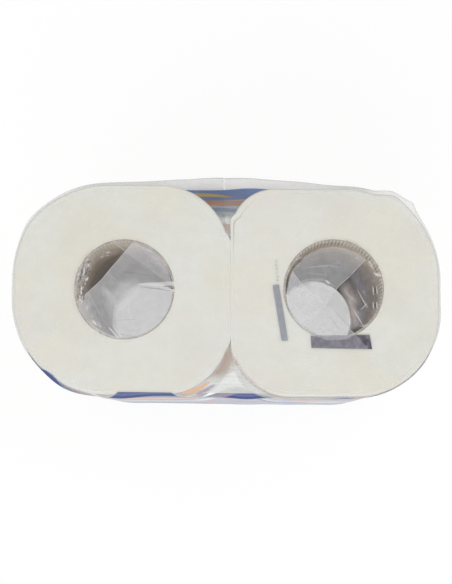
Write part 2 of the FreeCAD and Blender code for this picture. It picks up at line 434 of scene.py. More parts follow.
def place_at(distance, inset):
    """The point of the sleeve's outline at each distance from the seam, moved in by the
    inset along the outline's normal, and that normal."""
    start = np.interp(SEAM_ANGLE, fine, film_along)
    wrapped = (np.asarray(distance) + start) % GIRTH
    x = np.interp(wrapped, film_along, film_loop[:, 0])
    y = np.interp(wrapped, film_along, film_loop[:, 1])
    ahead = (wrapped + 1.5 * MM) % GIRTH
    behind = (wrapped - 1.5 * MM) % GIRTH
    run_x = np.interp(ahead, film_along, film_loop[:, 0])
    run_x -= np.interp(behind, film_along, film_loop[:, 0])
    run_y = np.interp(ahead, film_along, film_loop[:, 1])
    run_y -= np.interp(behind, film_along, film_loop[:, 1])
    length = np.hypot(run_x, run_y)
    normal = np.stack([run_y / length, -run_x / length], axis=-1)
    return np.stack([x, y], axis=-1) - normal * np.asarray(inset)[..., None], normal


# %% Slack of the sleeve
# Where the film stands off a corner: angle in degrees, how far in millimetres, how wide
# round the pack, and how far down it reaches. The ear is a pointed fold at the right back.
CORNER_SLACK = [(160.5, 1.1, 9, 60), (212.0, 1.2, 12, 50)]
EAR = (23.9, 3.2, 5.0, 22)
# The right back corner is pushed out to a blunt point: its angle in degrees, and in
# millimetres how far it stands out, how far round the pack it takes to rise and to fade, and
# how far down it reaches.
POINT = (28.6, 3.4, 10.5, 22.0, 60)


def pushed_out(past, rise, fall):
    """The shape of a pushed-out corner beside its tip, which is at 0: an S up to it over one
    length, and a slow fading past it over another."""
    return step(past, -rise, 0.0) * np.exp(-np.maximum(past, 0) / fall)


def bow(distance, height):
    """How far the sleeve stands off the rolls: it bows out over the gap between them at the
    back and is drawn into it at the front, it is slack at the corners where its ends were
    folded, and it is a little uneven everywhere, with fine pleats by the shoulder."""
    point, normal = place_at(distance, np.zeros_like(distance))
    x = point[..., 0]
    back = step(normal[..., 1], 0.6, 0.95)
    front = step(-normal[..., 1], 0.6, 0.95)
    from_top = FILM_TOP - height
    slack = 3.0 * MM * hump(x, 6 * MM, 36 * MM) + 0.5 * MM
    out = back * slack * (0.1 + 0.9 * np.exp(-from_top / (24 * MM)))
    for degrees, stand, wide, deep in CORNER_SLACK:
        corner = along_at(math.radians(degrees))
        out += stand * MM * hump(distance, corner, wide * MM) * np.exp(-from_top / (deep * MM))
    degrees, stand, rise, fall, deep = POINT
    past = along_at(math.radians(degrees + 360)) - distance
    out += stand * MM * pushed_out(past, rise * MM, fall * MM) * np.exp(-from_top / (deep * MM))
    degrees, stand, wide, deep = EAR
    beside = np.abs(distance - along_at(math.radians(degrees + 360)))
    out += stand * MM * np.exp(-beside / (wide * MM) - from_top / (deep * MM))
    knob = 1.3 * MM * hump(x, -49 * MM, 9 * MM) + 0.8 * MM * hump(x, 10 * MM, 7 * MM)
    out += front * knob * np.exp(-from_top / (30 * MM))
    drawn_in = step(from_top, 3 * MM, 45 * MM) * (1 - step(from_top, 120 * MM, 205 * MM))
    out -= front * 6.5 * MM * hump(x, 5 * MM, 12 * MM) * drawn_in
    out += 0.22 * MM * ripples(distance, height * 0.35, 70 * MM, 6, 5)
    pleat = ripples(distance, height * 0.05, 30 * MM, 4, 91) * np.exp(-from_top / (14 * MM))
    out += 0.2 * MM * pleat
    return out


# %% What each point of the film carries
ROLL_TURN = np.linspace(0, 2 * math.pi, 721)
ROLL_NODES = ("left_roll", "right_roll")
ROLL_REACH = [reach(node, at, ROLL_TURN) for node, at in zip(ROLL_NODES, CORE_MIDDLES)]


def off_paper(x, y):
    """1 where the front flap spans the gap between the rolls, and 0 over the paper of either
    roll, where the film clings and is clear, and over the back."""
    outside = np.full(x.shape, 1.0)
    for (cx, cy), outline in zip(CORE_MIDDLES, ROLL_REACH):
        turn = np.arctan2(y - cy, x - cx) % (2 * math.pi)
        beyond = np.hypot(x - cx, y - cy) - np.interp(turn, ROLL_TURN, outline)
        outside = np.minimum(outside, step(beyond, -0.4 * MM, 1.0 * MM))
    return outside * step(-y, 22 * MM, 30 * MM)


def point_values(x, y, edge, haze=0.0, line=0.0, crumple=0.0, tone=0.0, ink=0.0):
    """The numbers that the film's finish reads at each point: how far the nearest edge is,
    how milky the film is, how strongly its edges shine as a painted highlight, how much of
    what lies under it a crumple hides, its tone, from -1 for painted shade to 1 for a painted
    highlight, whether the film is off the paper, and its tint, 1 for orange and -1 for
    lavender, which is print on the strokes in the gap and a tint of the painted shade elsewhere."""
    shape = x.shape
    return {
        "edge": edge,
        "gap": off_paper(x, y),
        "haze": np.broadcast_to(haze, shape),
        "line": np.broadcast_to(line, shape),
        "crumple": np.broadcast_to(crumple, shape),
        "tone": np.broadcast_to(tone, shape),
        "ink": np.broadcast_to(ink, shape),
    }


# %% Film sleeve
def sleeve_grid():
    """The sleeve as distance round by distance up. Each end turns in over the rolls along a
    quarter circle, which is the film's shoulder."""
    distance = np.linspace(0, GIRTH + LAP, 320)
    turn = np.linspace(0, math.pi / 2, 6)
    rows = 70
    heights = np.linspace(FILM_BOTTOM + SHOULDER, FILM_TOP - SHOULDER, rows)
    inset = np.concatenate(
        [SHOULDER * (1 - np.sin(turn))[:-1], np.zeros(rows), SHOULDER * (1 - np.cos(turn))[1:]]
    )
    level = np.concatenate(
        [
            FILM_BOTTOM + SHOULDER * (1 - np.cos(turn))[:-1],
            heights,
            FILM_TOP - SHOULDER * (1 - np.sin(turn))[1:],
        ]
    )
    run = np.concatenate([-SHOULDER * turn[::-1][:-1], np.zeros(rows), SHOULDER * turn[1:]])
    v = np.clip(level, heights[0], heights[-1]) + run
    d, z = np.meshgrid(distance, level)
    i = np.repeat(inset[:, None], len(distance), axis=1)
    out = bow(d, z) * np.clip(1 - i / SHOULDER, 0, 1)
    on_lap = step(d, GIRTH - 1 * MM, GIRTH + 1 * MM)
    flat = place_at(d, i - out - on_lap * 0.2 * MM)[0]
    points = np.concatenate([flat, z[..., None]], axis=-1)
    edge = np.minimum(np.minimum(d, GIRTH + LAP - d), 5 * MM)
    # two layers that cling to each other look like one, so the lapped one has little haze
    haze = 1 - 0.9 * on_lap
    # the film is drawn tight round the corners, and is clearest there
    facing = place_at(d, 0 * d)[1]
    haze = haze * (0.55 + 0.45 * step(np.abs(facing[..., 1]), 0.93, 0.995))
    return {
        "points": points,
        "uv": np.stack([d, np.repeat(v[:, None], len(distance), axis=1)], axis=-1),
        "values": point_values(points[..., 0], points[..., 1], edge, haze=haze, line=0.2),
    }


# %% Lines and patches
def drawn(points, count):
    """A line through points given in millimetres, divided into equal steps."""
    points = np.array(points, float) * MM
    lengths = np.linalg.norm(np.diff(points, axis=0), axis=1)
    along = np.concatenate([[0], np.cumsum(lengths)])
    at = np.linspace(0, along[-1], count)
    return np.stack([np.interp(at, along, points[:, k]) for k in (0, 1)], axis=-1)


def rim_line(start, end, count):
    """The line along the inner edge of the shoulder between two angles in degrees."""
    distance = np.linspace(along_at(math.radians(start)), along_at(math.radians(end)), count)
    return place_at(distance, np.full(count, SHOULDER))[0]


def patch(near, far, left, right):
    """The patch between four edges: the surface ruled from near to far, plus the one ruled
    from left to right, less the flat one through the four corners, which both have."""
    t = np.linspace(0, 1, len(left))[:, None, None]
    s = np.linspace(0, 1, len(near))[None, :, None]
    one = (1 - t) * near[None] + t * far[None]
    other = (1 - s) * left[:, None] + s * right[:, None]
    corners = (1 - t) * ((1 - s) * near[0] + s * near[-1]) + t * ((1 - s) * far[0] + s * far[-1])
    return one + other - corners


def dish(x, y):
    """How deep the film sags over the bores: a smooth bowl as wide as each of them, with a
    few soft dents."""
    deep = np.zeros(x.shape)
    for cx, cy in CORE_MIDDLES:
        away = np.hypot(x - cx, y - cy) / (CORE_RADIUS - CORE_WALL)
        deep += np.clip(1 - away**2, 0, 1) ** 1.2
    return deep * (1.5 * MM + 0.35 * MM * ripples(x, y, 20 * MM, 5, 77))


def near_level(x, y, lift):
    """The height of film that lies over the near end, the lift above the lowest layer."""
    return FILM_TOP + lift - dish(x, y)


# The middles, in millimetres, of the places where the two flaps cling to each other.
CLINGING = [(-35.6, -13.5), (40.5, -14.0)]


def clinging(x, y):
    """1 where the two flaps cling to each other at the front of each bore, and their folded
    edges don't shine, and 0 elsewhere: a disc that is a little smaller than the bore."""
    inside = np.zeros(x.shape)
    for cx, cy in CLINGING:
        inside = np.maximum(inside, 1 - step(np.hypot(x - cx * MM, y - cy * MM), 16 * MM, 18 * MM))
    return inside


# %% Folded edges
# Each folded edge runs from a corner of the pack inwards. The points are in millimetres from
# the middle of the pack.
BACK_LEFT_EDGE = [(-78, 41.4), (-52.9, 22.3), (-47.1, 18), (-26.9, 3.4), (-4, -15), (4, -25)]
BACK_RIGHT_EDGE = [(84.2, 34.1), (67.7, 16.9), (59, 7.4), (52.2, 1.3), (46.9, -7), (30, -25)]
FRONT_LEFT_EDGE = [
    (-91, -27.3), (-68.8, -4.8), (-64.3, -0.7), (-58.3, 4.9), (-53.8, 10.5), (-43.4, 22.5),
    (-38, 27),
]
FRONT_RIGHT_EDGE = [
    (81.4, -41.4), (67.4, -28.8), (58.1, -18.6), (49.3, -8.8), (41.9, -2.3), (34.9, 3.3),
    (31.6, 7.9), (22, 27),
]
# The angles, in degrees, at which the free edges of the tucked sides meet the back and front.
LEFT_TUCK = (118, 241)
RIGHT_TUCK = (65, -65)


def corner_angle(edge):
    """The angle at which a folded edge starts from the rim, in degrees."""
    return math.degrees(math.atan2(edge[0][1], edge[0][0]))


# %% Folded panels of an end
def panel(angles, count, far, left, right, layer, seed, top, haze, line, veil=0.0):
    """One panel of a folded end, between the shoulder, a left and a right side, and a free
    edge. It leaves the shoulder at the level of the sleeve and rises to its own layer, sags
    over the bores, and has small wrinkles of its own. A point's v goes on past the end of
    the sleeve by how far the point lies from the shoulder. Its haze goes from one value over
    the left bore to another over the right one, and its veil is the same everywhere."""
    distance = np.linspace(*(along_at(math.radians(angle)) for angle in angles), count)
    near = place_at(distance, np.full(count, SHOULDER))[0]
    left = np.concatenate([near[:1], left[1:]])
    right = np.concatenate([near[-1:], right[1:]])
    free = drawn(far, count) if far else np.linspace(left[-1], right[-1], count)
    free = free + (left[-1] - free[0]) * np.linspace(1, 0, count)[:, None]
    free = free + (right[-1] - free[-1]) * np.linspace(0, 1, count)[:, None]
    flat = patch(near, free, left, right)
    x, y = flat[..., 0], flat[..., 1]
    rows, columns = x.shape
    across = np.linalg.norm(np.diff(flat, axis=1), axis=2)
    from_left = np.concatenate([np.zeros((rows, 1)), np.cumsum(across, axis=1)], axis=1)
    from_right = from_left[:, -1:] - from_left
    length = np.linalg.norm(np.diff(flat, axis=0), axis=2)
    reach_in = np.concatenate([np.zeros((1, columns)), np.cumsum(length, axis=0)])
    gap = (0.2 * MM if top else 0.1 * MM) * layer * step(reach_in, 0, 9 * MM)
    wrinkles = ripples(x, y, 24 * MM, 8, seed) * step(reach_in, 0, 12 * MM)
    if top:
        z = near_level(x, y, gap + 0.07 * MM * wrinkles)
        v = FILM_TOP + reach_in
    else:
        z = FILM_BOTTOM - gap + 0.02 * MM * wrinkles
        v = FILM_BOTTOM - reach_in
    edge = np.minimum(np.minimum(from_left, from_right), 5 * MM)
    line = line * (1 - 0.8 * clinging(x, y))
    at_left, at_right = haze
    haze = at_left + (at_right - at_left) * step(x, -25 * MM, 25 * MM)
    return {
        "points": np.stack([x, y, z], axis=-1),
        "uv": np.stack([np.broadcast_to(distance[None, :], x.shape), v], axis=-1),
        "turned": not top,
        "material": 1,
        "values": point_values(x, y, edge, haze=haze, line=line, crumple=veil),
    }


def end_panels(top):
    """All the panels of one end, from the lowest to the highest."""
    mesh_step = 1.5 * MM if top else 2.6 * MM
    line = 1.0 if top else 0.1
    rows = int(74 * MM / mesh_step)
    wide = int(170 * MM / mesh_step)
    deep = int(80 * MM / mesh_step)
    a = corner_angle(BACK_LEFT_EDGE)
    b = corner_angle(FRONT_LEFT_EDGE) + 360
    c = corner_angle(BACK_RIGHT_EDGE)
    d = corner_angle(FRONT_RIGHT_EDGE)
    back_left = drawn(BACK_LEFT_EDGE, rows)
    back_right = drawn(BACK_RIGHT_EDGE, rows)
    front_left = drawn(FRONT_LEFT_EDGE, rows)
    front_right = drawn(FRONT_RIGHT_EDGE, rows)
    tuck_back, tuck_front = LEFT_TUCK
    left_back = rim_line(a, tuck_back, rows)
    left_front = rim_line(b, tuck_front, rows)
    tuck_back, tuck_front = RIGHT_TUCK
    right_back = rim_line(c, tuck_back, rows)
    right_front = rim_line(d, tuck_front, rows)
    back_free = [(30, -25), (4, -25)]
    front_free = [(-38, 27), (22, 27)]
    # Layers that cling to each other look like one, so most of the haze is in the two flaps.
    tuck, triangle = ((0.75, 1.1), (0.35, 0.35)) if top else ((0, 0), (0, 0))
    back_flap, front_flap = ((0.9, 2.9), (4.1, 3.1)) if top else ((0.2, 0.2), (0.2, 0.2))
    veil = 0.0 if top else 0.40
    side = deep // 2
    return [
        # the tucked sides, which lie on the rolls
        panel((a, b), deep, None, left_back, left_front, 0, 11, top, tuck, 0, veil),
        panel((d, c), deep, None, right_front, right_back, 0, 12, top, tuck, 0, veil),
        # the triangles that they pull out of the back, and the back flap over them
        panel((a, a - 1.5), side, None, back_left, left_back, 1, 13, top, triangle, 0),
        panel((c + 1.5, c), side, None, right_back, back_right, 1, 14, top, triangle, 0),
        panel((c, a), wide, back_free, back_right, back_left, 2, 15, top, back_flap, line),
        # the triangles of the front, and the front flap over everything
        panel((b, b + 1.5), side, None, front_left, left_front, 3, 16, top, triangle, 0),
        panel((d - 1.5, d), side, None, right_front, front_right, 3, 17, top, triangle, 0),
        panel((b, d + 360), wide, front_free, front_left, front_right, 4, 18, top, front_flap,
              line),
    ]


# %% [markdown]
# ## Pleats and creases
# Where the film is pulled together over the bores it has more folds than the four panels:
# narrow pleats, ridges that catch the light, and crumpled places by the rims. Each is a
# ribbon of film between two lines that lies on the panels.

# %% Ribbons and creases
CREASE_LIFT = 1.15  # millimetres above the lowest layer, so above every panel
# How a crease hides what lies under it, and its tone: a painted highlight above 0, painted shade
# below 0.
SHINE = {"crumple": 0.6, "tone": 0.8}
FAINT_SHINE = {"crumple": 0.22, "tone": 0.4, "soft": True}
SHADE = {"crumple": 0.3, "tone": -0.7, "soft": True}


def ribbon(first, second, lift, rows=40, columns=5, soft=False, **values):
    """Film between two lines, ruled from one to the other and lifted above the lowest layer
    by so many millimetres. A soft one fades out at its sides and its ends. One that is soft
    as a wall is dense along its first line, fades towards its second line and its end, and
    shows only off the paper."""
    one = drawn(first, rows)
    two = drawn(second, rows)
    s = np.linspace(0, 1, columns)[None, :, None]
    t = np.linspace(0, 1, rows)[:, None]
    flat = one[:, None] * (1 - s) + two[:, None] * s
    x, y = flat[..., 0], flat[..., 1]
    s = s[..., 0]
    fade = np.ones(x.shape)
    if soft == "wall":
        fade = np.cos(math.pi / 2 * s) ** 0.7 * (1 - step(t, 0.7, 1.0)) * off_paper(x, y)
    elif soft:
        fade = np.sin(math.pi * s) * np.sin(math.pi * t) ** 0.5
    for key in values.keys() & {"haze", "crumple"}:
        values[key] = values[key] * fade
    z = near_level(x, y, lift * MM)
    width = np.linalg.norm(two - one, axis=1)[:, None]
    return {
        "points": np.stack([x, y, z], axis=-1),
        "uv": np.stack([x, y], axis=-1),
        "turned": True,
        "material": 1,
        "values": point_values(x, y, s * width, **values),
    }


def crease(points, width, **values):
    """A ridge: a ribbon that follows a line and tapers to a point at both its ends."""
    line = np.array(points, float)
    count = 13
    lengths = np.concatenate([[0], np.cumsum(np.linalg.norm(np.diff(line, axis=0), axis=1))])
    at = np.linspace(0, lengths[-1], count)
    line = np.stack([np.interp(at, lengths, line[:, k]) for k in (0, 1)], axis=-1)
    run = line[-1] - line[0]
    side = np.array([-run[1], run[0]]) / np.linalg.norm(run) * width / 2
    taper = np.sin(math.pi * np.linspace(0.04, 0.96, count))[:, None] ** 0.6
    return ribbon(line - side * taper, line + side * taper, CREASE_LIFT, 24, 5, **values)


# %% Crumpled film
def crumples(first, second, lift, height, length, width, strength, highlight_and_shade, seed,
             rows=96, columns=26):
    """Crumpled film between two lines: ridges so long and wide, drawn out along the lines.
    The ridges are painted bright as painted highlights and hide what is under them, and the
    film between them is clear, with painted shade in its valleys."""
    grid = ribbon(first, second, lift, rows, columns, soft=True, haze=0.5, crumple=1.0)
    points = grid["points"]
    run = np.linalg.norm(np.diff(points[:, :1], axis=0), axis=2)
    along = np.concatenate([np.zeros((1, 1)), np.cumsum(run, axis=0)])
    across = np.linalg.norm(points - points[:, :1], axis=2)
    swerve = ripples(along, across, 9 * MM, 5, seed + 1) * 0.8 * MM
    folds = ripples(along * width / length, across + swerve, width * MM, 8, seed)
    patchy = step(ripples(along, across, 7 * MM, 4, seed + 2), -0.5, 0.6)
    fade = grid["values"]["crumple"]
    points[..., 2] += height * MM * folds * fade
    ridge = step(folds, 0.15, 0.65)
    valley = step(-folds, 0.15, 0.6)
    grid["values"]["crumple"] = strength * fade * (0.2 + 0.8 * patchy) * (ridge + 0.7 * valley)
    # painted highlights on the ridges and painted shade in the valleys
    grid["values"]["tone"] = highlight_and_shade * (ridge - 0.8 * valley)
    return grid


# %% Pleats over the left bore
GLINT_AND_SHADE_SPECKS = 46


def glint_and_shade_specks():
    """Small specks of painted shade and painted glints on the film by the left rim, which run
    roughly along it.
    """
    random = np.random.default_rng(12)
    cx, cy = CORE_MIDDLES[0][0] / MM, CORE_MIDDLES[0][1] / MM
    specks = []
    for k in range(GLINT_AND_SHADE_SPECKS):
        turn = 2.5 + 0.02 * k + random.uniform(-0.05, 0.05)
        away = random.uniform(18.0, 22.3)
        lean = turn + math.pi / 2 + random.uniform(-0.5, 0.5)
        x, y = cx + away * math.cos(turn), cy + away * math.sin(turn)
        half = random.uniform(0.4, 1.4)
        dx, dy = half * math.cos(lean), half * math.sin(lean)
        # two specks in three are painted shade, the others painted glints
        tone = -1.0 if k % 3 else 0.6
        wide = random.uniform(0.4, 0.75)
        line = [(x - dx, y - dy), (x + dx, y + dy)]
        specks.append(crease(line, wide, crumple=0.62, tone=tone))
    return specks


def left_pleats():
    """The pleats, ridges and crumpled places over the left bore. The lines of every one are
    in millimetres from the middle of the pack."""
    corner = [(-42, 20), (-35, 13), (-27, 6)], [(-37, 22), (-30, 15.5), (-24.8, 7)]
    return [
        # the pleat beside the back flap's edge, and the one under the front flap
        ribbon(
            [(-47.1, 18), (-26.9, 3.4), (-25, 2)],
            [(-43.4, 22.5), (-39.2, 21.6), (-37.5, 18.6), (-32.8, 15.6), (-27, 8.6), (-24, 4.5)],
            0.9, haze=0.7,
        ),
        ribbon(
            [(-64.3, -0.9), (-61.5, -6), (-57.5, -13.5), (-50.7, -22.8), (-49, -25)],
            [(-70.5, -4.5), (-69, -10), (-64, -18), (-57, -23.5), (-53, -26)],
            0.9, haze=0.6, line=0.5,
        ),
        crumples(
            [(-65.5, -2), (-62.5, -8), (-58.5, -15.5), (-52.5, -23)],
            [(-71, -6), (-68.5, -11.5), (-63.5, -19), (-55, -25)],
            1.0, 0.15, 8, 4, 0.3, 0.4, 61,
        ),
        crease([(-63.8, -3), (-60.3, -11), (-52.5, -21.5)], 2.4, **SHADE),
        # the crumpled film by the left rim, in a coarse and a fine sheet
        crumples(
            [(-60.5, 13.5), (-64, 8), (-65.2, 2), (-65, -4)],
            [(-66.3, 15.5), (-70.8, 8), (-72, 1), (-70.5, -6)],
            0.75, 0.3, 4.5, 1.4, 0.6, 0.7, 7,
        ),
        crumples(
            [(-59.5, 15.5), (-62.5, 8), (-63.3, 2), (-63.5, -3)],
            [(-66, 16), (-70.3, 8), (-71.5, 1), (-70, -5.5)],
            0.85, 0.15, 2.4, 0.75, 0.55, 0.7, 27, 160, 48,
        ),
        crumples([(-63, 14.5), (-57, 18.5), (-50, 20.5)], [(-61, 11.5), (-55, 15), (-50, 16.5)],
                 0.75, 0.15, 5, 1.5, 0.35, 0.6, 17),
        *glint_and_shade_specks(),
        # the wide pleat at the right, painted bright as a painted highlight, and the lines beside
        # it, painted bright and dark
        ribbon([(-41.2, 2.9), (-34, 3.5), (-24, 4.0)], [(-41.2, 2.5), (-34, 2.0), (-24, 1.6)], 1.0,
               crumple=0.5, tone=0.55),
        ribbon([(-30.7, 0.6), (-24, 0.3)], [(-30.7, 0.3), (-24, -1.0)], 1.0,
               crumple=0.5, tone=0.55),
        crease([(-40.2, 1.5), (-32, 0.6), (-24.7, -0.6)], 0.7, crumple=0.45, tone=-0.7),
        crease([(-41, 3.9), (-35, 4.1), (-27, 5.2)], 1.0, crumple=0.3, tone=-0.5, soft=True),
        crease([(-29.5, 1.7), (-24, 1.9)], 0.45, crumple=0.5, tone=-0.9),
        crease([(-64.4, -6.5), (-64.9, -10)], 1.0, crumple=0.45, tone=0.6, soft=True),
        crease([(-62.6, -13.8), (-59.8, -16.6)], 1.7, crumple=0.6, tone=0.8, soft=True),
        crease([(-59.8, -14.5), (-58, -17.8)], 1.6, crumple=0.3, tone=0.4, soft=True),
        crease([(-54.6, -17.2), (-50.0, -22.6)], 0.6, **SHINE),
        crease([(-53, -16.3), (-48.3, -22.3)], 0.4, **SHINE),
        crease([(-56, 17.4), (-53.8, 17.8)], 0.9, crumple=0.4, tone=0.7, soft=True),
        # the smudged lower side of the tuck, and faint long wrinkles over the opening
        ribbon([(-59, -3), (-50, 4.5), (-41.5, 6.5)], [(-53, -17), (-44, -7), (-36, -1)],
               0.95, 60, 20, soft=True, crumple=0.42, tone=0.0),
        crumples([(-59, 0), (-51, 6), (-42, 6)], [(-54, -16), (-45, -7), (-37, -1)],
                 1.0, 0.1, 3.5, 1.6, 0.16, 0.7, 44),
        crease([(-58.5, 3), (-49.5, -9.5)], 5.0, **FAINT_SHINE),
        crease([(-52, -20), (-41, -22.2)], 0.5, crumple=0.22, tone=-0.7),
        crease([(-50.5, -14.2), (-42, -13.6)], 0.6, crumple=0.2, tone=-0.7),
        crease([(-48, -18.5), (-40, -19.2)], 0.4, crumple=0.16, tone=-0.7),
        crease([(-46, -8), (-42.5, -18)], 1.2, **FAINT_SHINE),
        crease([(-44.6, -1.5), (-45.4, -11)], 0.8, **FAINT_SHINE),
        crease([(-39, 12.3), (-33, 8.2)], 0.8, **SHADE),
        # the crumpled corner between the two flaps, with painted shade tinted lavender
        ribbon(*corner, 0.95, 40, 12, soft=True, crumple=0.5, tone=-0.38, ink=-0.3),
        crumples(*corner, 1.0, 0.1, 5, 1.5, 0.4, 0.6, 51),
        crease([(-50, 9), (-34, 6.5)], 1.3, **SHADE),
    ]


# %% Pleats over the right bore
def right_pleats():
    """The same over the right bore, where two short slots at the rim are painted nearly black,
    each between two lines painted bright as painted highlights."""
    slots = [((69.3, 1.3), (69.6, -1.9)), ((69.3, -6.0), (69.5, -8.6))]
    dark = [crease([start, end], 1.0, crumple=0.9, tone=-1.0) for start, end in slots]
    beside = [
        [(start[0] + aside, start[1] + 0.4), (end[0] + aside, end[1] - 0.4)]
        for start, end in slots
        for aside in (-0.9, 0.8)
    ]
    bright = [crease(line, 0.5, crumple=0.5, tone=0.8) for line in beside]
    return dark + bright + [
        # the crumpled film at the right side
        ribbon(
            [(56, 9), (52, 3), (55, -9), (60, -19)],
            [(68, 15.5), (73.2, 6), (72, -8), (66, -17.5)],
            0.93, 60, 20, soft=True, crumple=0.08, tone=-0.4,
        ),
        crumples(
            [(60, 18), (57, 8), (56.5, 0), (58, -10), (60, -19)],
            [(68, 15.5), (73.2, 6), (73.8, -1), (71.8, -10), (66, -17.5)],
            0.95, 0.15, 16, 6, 0.14, 0.35, 9, 96, 34,
        ),
        crumples(
            [(67, 15.5), (71, 6), (71.5, -9), (67, -16)],
            [(69.5, 14), (74, 5), (74, -9), (69, -17)],
            1.0, 0.15, 4, 1.2, 0.4, 0.6, 29,
        ),
        # bands of painted shade over the opening, tinted lavender and brown
        ribbon([(56.0, 7.5), (59.5, 2), (63.5, -5.5)], [(61.5, 8.5), (65, 2.5), (68.2, -4)],
               1.05, 40, 12, soft=True, crumple=0.6, tone=-0.82, ink=-0.3),
        ribbon([(56.5, 0), (58.5, -4.5), (60, -9)], [(60.5, 1), (62.5, -2.5), (64.5, -7)],
               1.05, 40, 12, soft=True, crumple=0.4, tone=-0.66, ink=0.3),
        ribbon([(57.5, -9), (58.5, -14), (58.0, -19)], [(65.5, -9), (64.5, -14), (61.5, -18.5)],
               1.05, 40, 12, soft=True, crumple=0.25, tone=-0.3, ink=0.15),
        # crumpled film beside the opening, painted a brownish shade
        ribbon([(51.8, 1.8), (55.4, -6.5), (57.4, -19)], [(57.5, 5), (61, -5), (62.5, -17.5)],
               1.02, 40, 12, soft=True, crumple=0.5, tone=-0.42, ink=0.35),
        crumples([(52.3, 1.5), (56, -6.5), (57.8, -19)], [(58, 5), (61.5, -5), (62.5, -17.5)],
                 1.05, 0.12, 6, 1.8, 0.3, 0.5, 33),
        crease([(54.5, 1.5), (57.5, -3), (61, -6)], 0.9, crumple=0.3, tone=0.5, soft=True),
        crease([(60.9, 0.9), (63.6, -4.5), (66.3, -9.2)], 0.9, crumple=0.5, tone=0.5, soft=True),
        crease([(58.6, -7.9), (61.4, -12.8), (64.4, -18)], 0.8, crumple=0.5, tone=0.7, soft=True),
        crease([(66, -6), (62.3, -9.8)], 0.7, crumple=0.5, tone=0.6, soft=True),
        crease([(61.5, -17), (67, -16.5)], 1.6, crumple=0.35, tone=0.2, soft=True),
        crease([(57, -11.5), (58, -18.5)], 2.4, crumple=0.35, tone=0.35, soft=True),
        crease([(68.6, 8), (70.3, 7), (72.6, 6.6)], 2.0, crumple=0.6, tone=0.75, soft=True),
        crease([(66, 14.5), (69, 9)], 1.8, crumple=0.4, tone=0.4, soft=True),
        # the front flap's ruffled edge over the opening, and long wrinkles at the back
        crease([(34.5, 4.2), (40, 4.9), (46.5, 4.6), (50.5, 1.7)], 1.3, crumple=0.45, tone=-0.5),
        crease([(34, 3.4), (41, 4.0), (47, 3.0)], 0.5, crumple=0.35, tone=0.8),
        crease([(46.4, 4.4), (48.4, 2.8)], 1.0, crumple=0.5, tone=0.8),
        crease([(31.2, 11.4), (33.2, 13.2), (35.2, 13.0)], 0.8, crumple=0.6, tone=-0.8),
        crease([(31.5, 13.6), (36, 15.5)], 1.4, **FAINT_SHINE),
        crease([(34.5, 10), (48, 11.5), (55, 10.3)], 1.0, **FAINT_SHINE),
        crease([(44, 12.2), (57, 12.6)], 0.7, crumple=0.25, tone=-0.5, soft=True),
        crease([(36, 8), (47, 7)], 0.9, crumple=0.25, tone=-0.4, soft=True),
        crease([(42, 3), (44.5, -7)], 1.0, crumple=0.3, tone=0.8, soft=True),
        crease([(50, -9.5), (57, -17)], 0.6, crumple=0.28, tone=-0.6),
        crease([(47, -11), (53, -19)], 0.5, crumple=0.2, tone=-0.6),
    ]


# %% Streaks over the gap
GAP_STREAKS = 13


def gap_streaks():
    """Thin stretched wrinkles where the front flap crosses the gap between the rolls, some painted
    bright as highlights and the others painted darker as shade.
    """
    random = np.random.default_rng(4)
    streaks = []
    for k in range(GAP_STREAKS):
        y = -35.5 - 1.0 * k
        half = 2.0 + 0.9 * k
        x = 3.0 + random.uniform(-2, 2)
        rise = random.uniform(-0.6, 1.2)
        tone = random.choice([-0.3, 0.9])
        start = (x - half * random.uniform(0.4, 1), y - rise)
        end = (x + half * random.uniform(0.4, 1), y)
        wide = random.uniform(0.5, 1.3)
        streaks.append(crease([start, end], wide, crumple=0.26, tone=tone, soft=True))
    # the walls of the gap, a film sheet painted dark taupe as painted shade tinted by light
    # through the print, and the printed film that is drawn into it at its left
    wall = {"crumple": 0.97, "ink": 0.42, "tone": -0.78, "soft": "wall"}
    streaks += [
        ribbon(
            [(0.5, -21.5), (-3.2, -29.5), (-6.5, -35.5), (-13.5, -42.5)],
            [(2.6, -21.5), (6.4, -30.5), (4.0, -38), (-3.5, -43.5)],
            1.1, 40, 9, **wall,
        ),
        crease([(3.6, -30.5), (8.5, -39), (14.5, -44.8), (20, -48)], 1.6,
               crumple=0.6, tone=-0.5, ink=0.4, soft=True),
        crease([(-20.5, -48.4), (-13.5, -46.6), (-7.6, -42.8)], 2.4, crumple=0.85, ink=1.0),
        crease([(-14.5, -48.4), (-9.5, -46.8), (-4.5, -43.6)], 2.4,
               crumple=1.0, ink=-1.0, soft=True),
    ]
    return streaks


# %% Folds of the far end
FAR_FOLDS = [(70, 215, 71), (95, 185, 83)]  # from and to which angle in degrees, and seed


def far_folds():
    """Loose folds of the far end's film round the openings, painted a little darker as painted
    shade. They blur the far rims.
    """
    folds = []
    for (cx, cy), (start, end, seed) in zip(CORE_MIDDLES, FAR_FOLDS):
        angles = np.radians(np.linspace(start, end, 90))[:, None]
        wide = np.linspace(0, 1, 16)[None, :]
        uneven = 1 + 0.6 * ripples(angles * 20 * MM, angles * 0, 8 * MM, 6, seed)
        radius = (CORE_RADIUS - CORE_WALL) * (1 - 0.11 * wide * uneven)
        x = cx + radius * np.cos(angles)
        y = cy + radius * np.sin(angles)
        z = np.full(x.shape, FILM_BOTTOM + 0.3 * MM) + 0.1 * MM * wide
        ends = np.sin(np.pi * np.linspace(0.05, 0.95, 90))[:, None] ** 0.5
        veil = 0.5 * (1 - step(wide, 0.5, 0.8)) * ends
        edge = wide * 5 * MM + 0 * angles
        values = point_values(x, y, edge, crumple=veil, tone=-0.35)
        points = np.stack([x, y, z], axis=-1)
        folds.append({"points": points, "uv": points[..., :2], "material": 1, "values": values})
    return folds


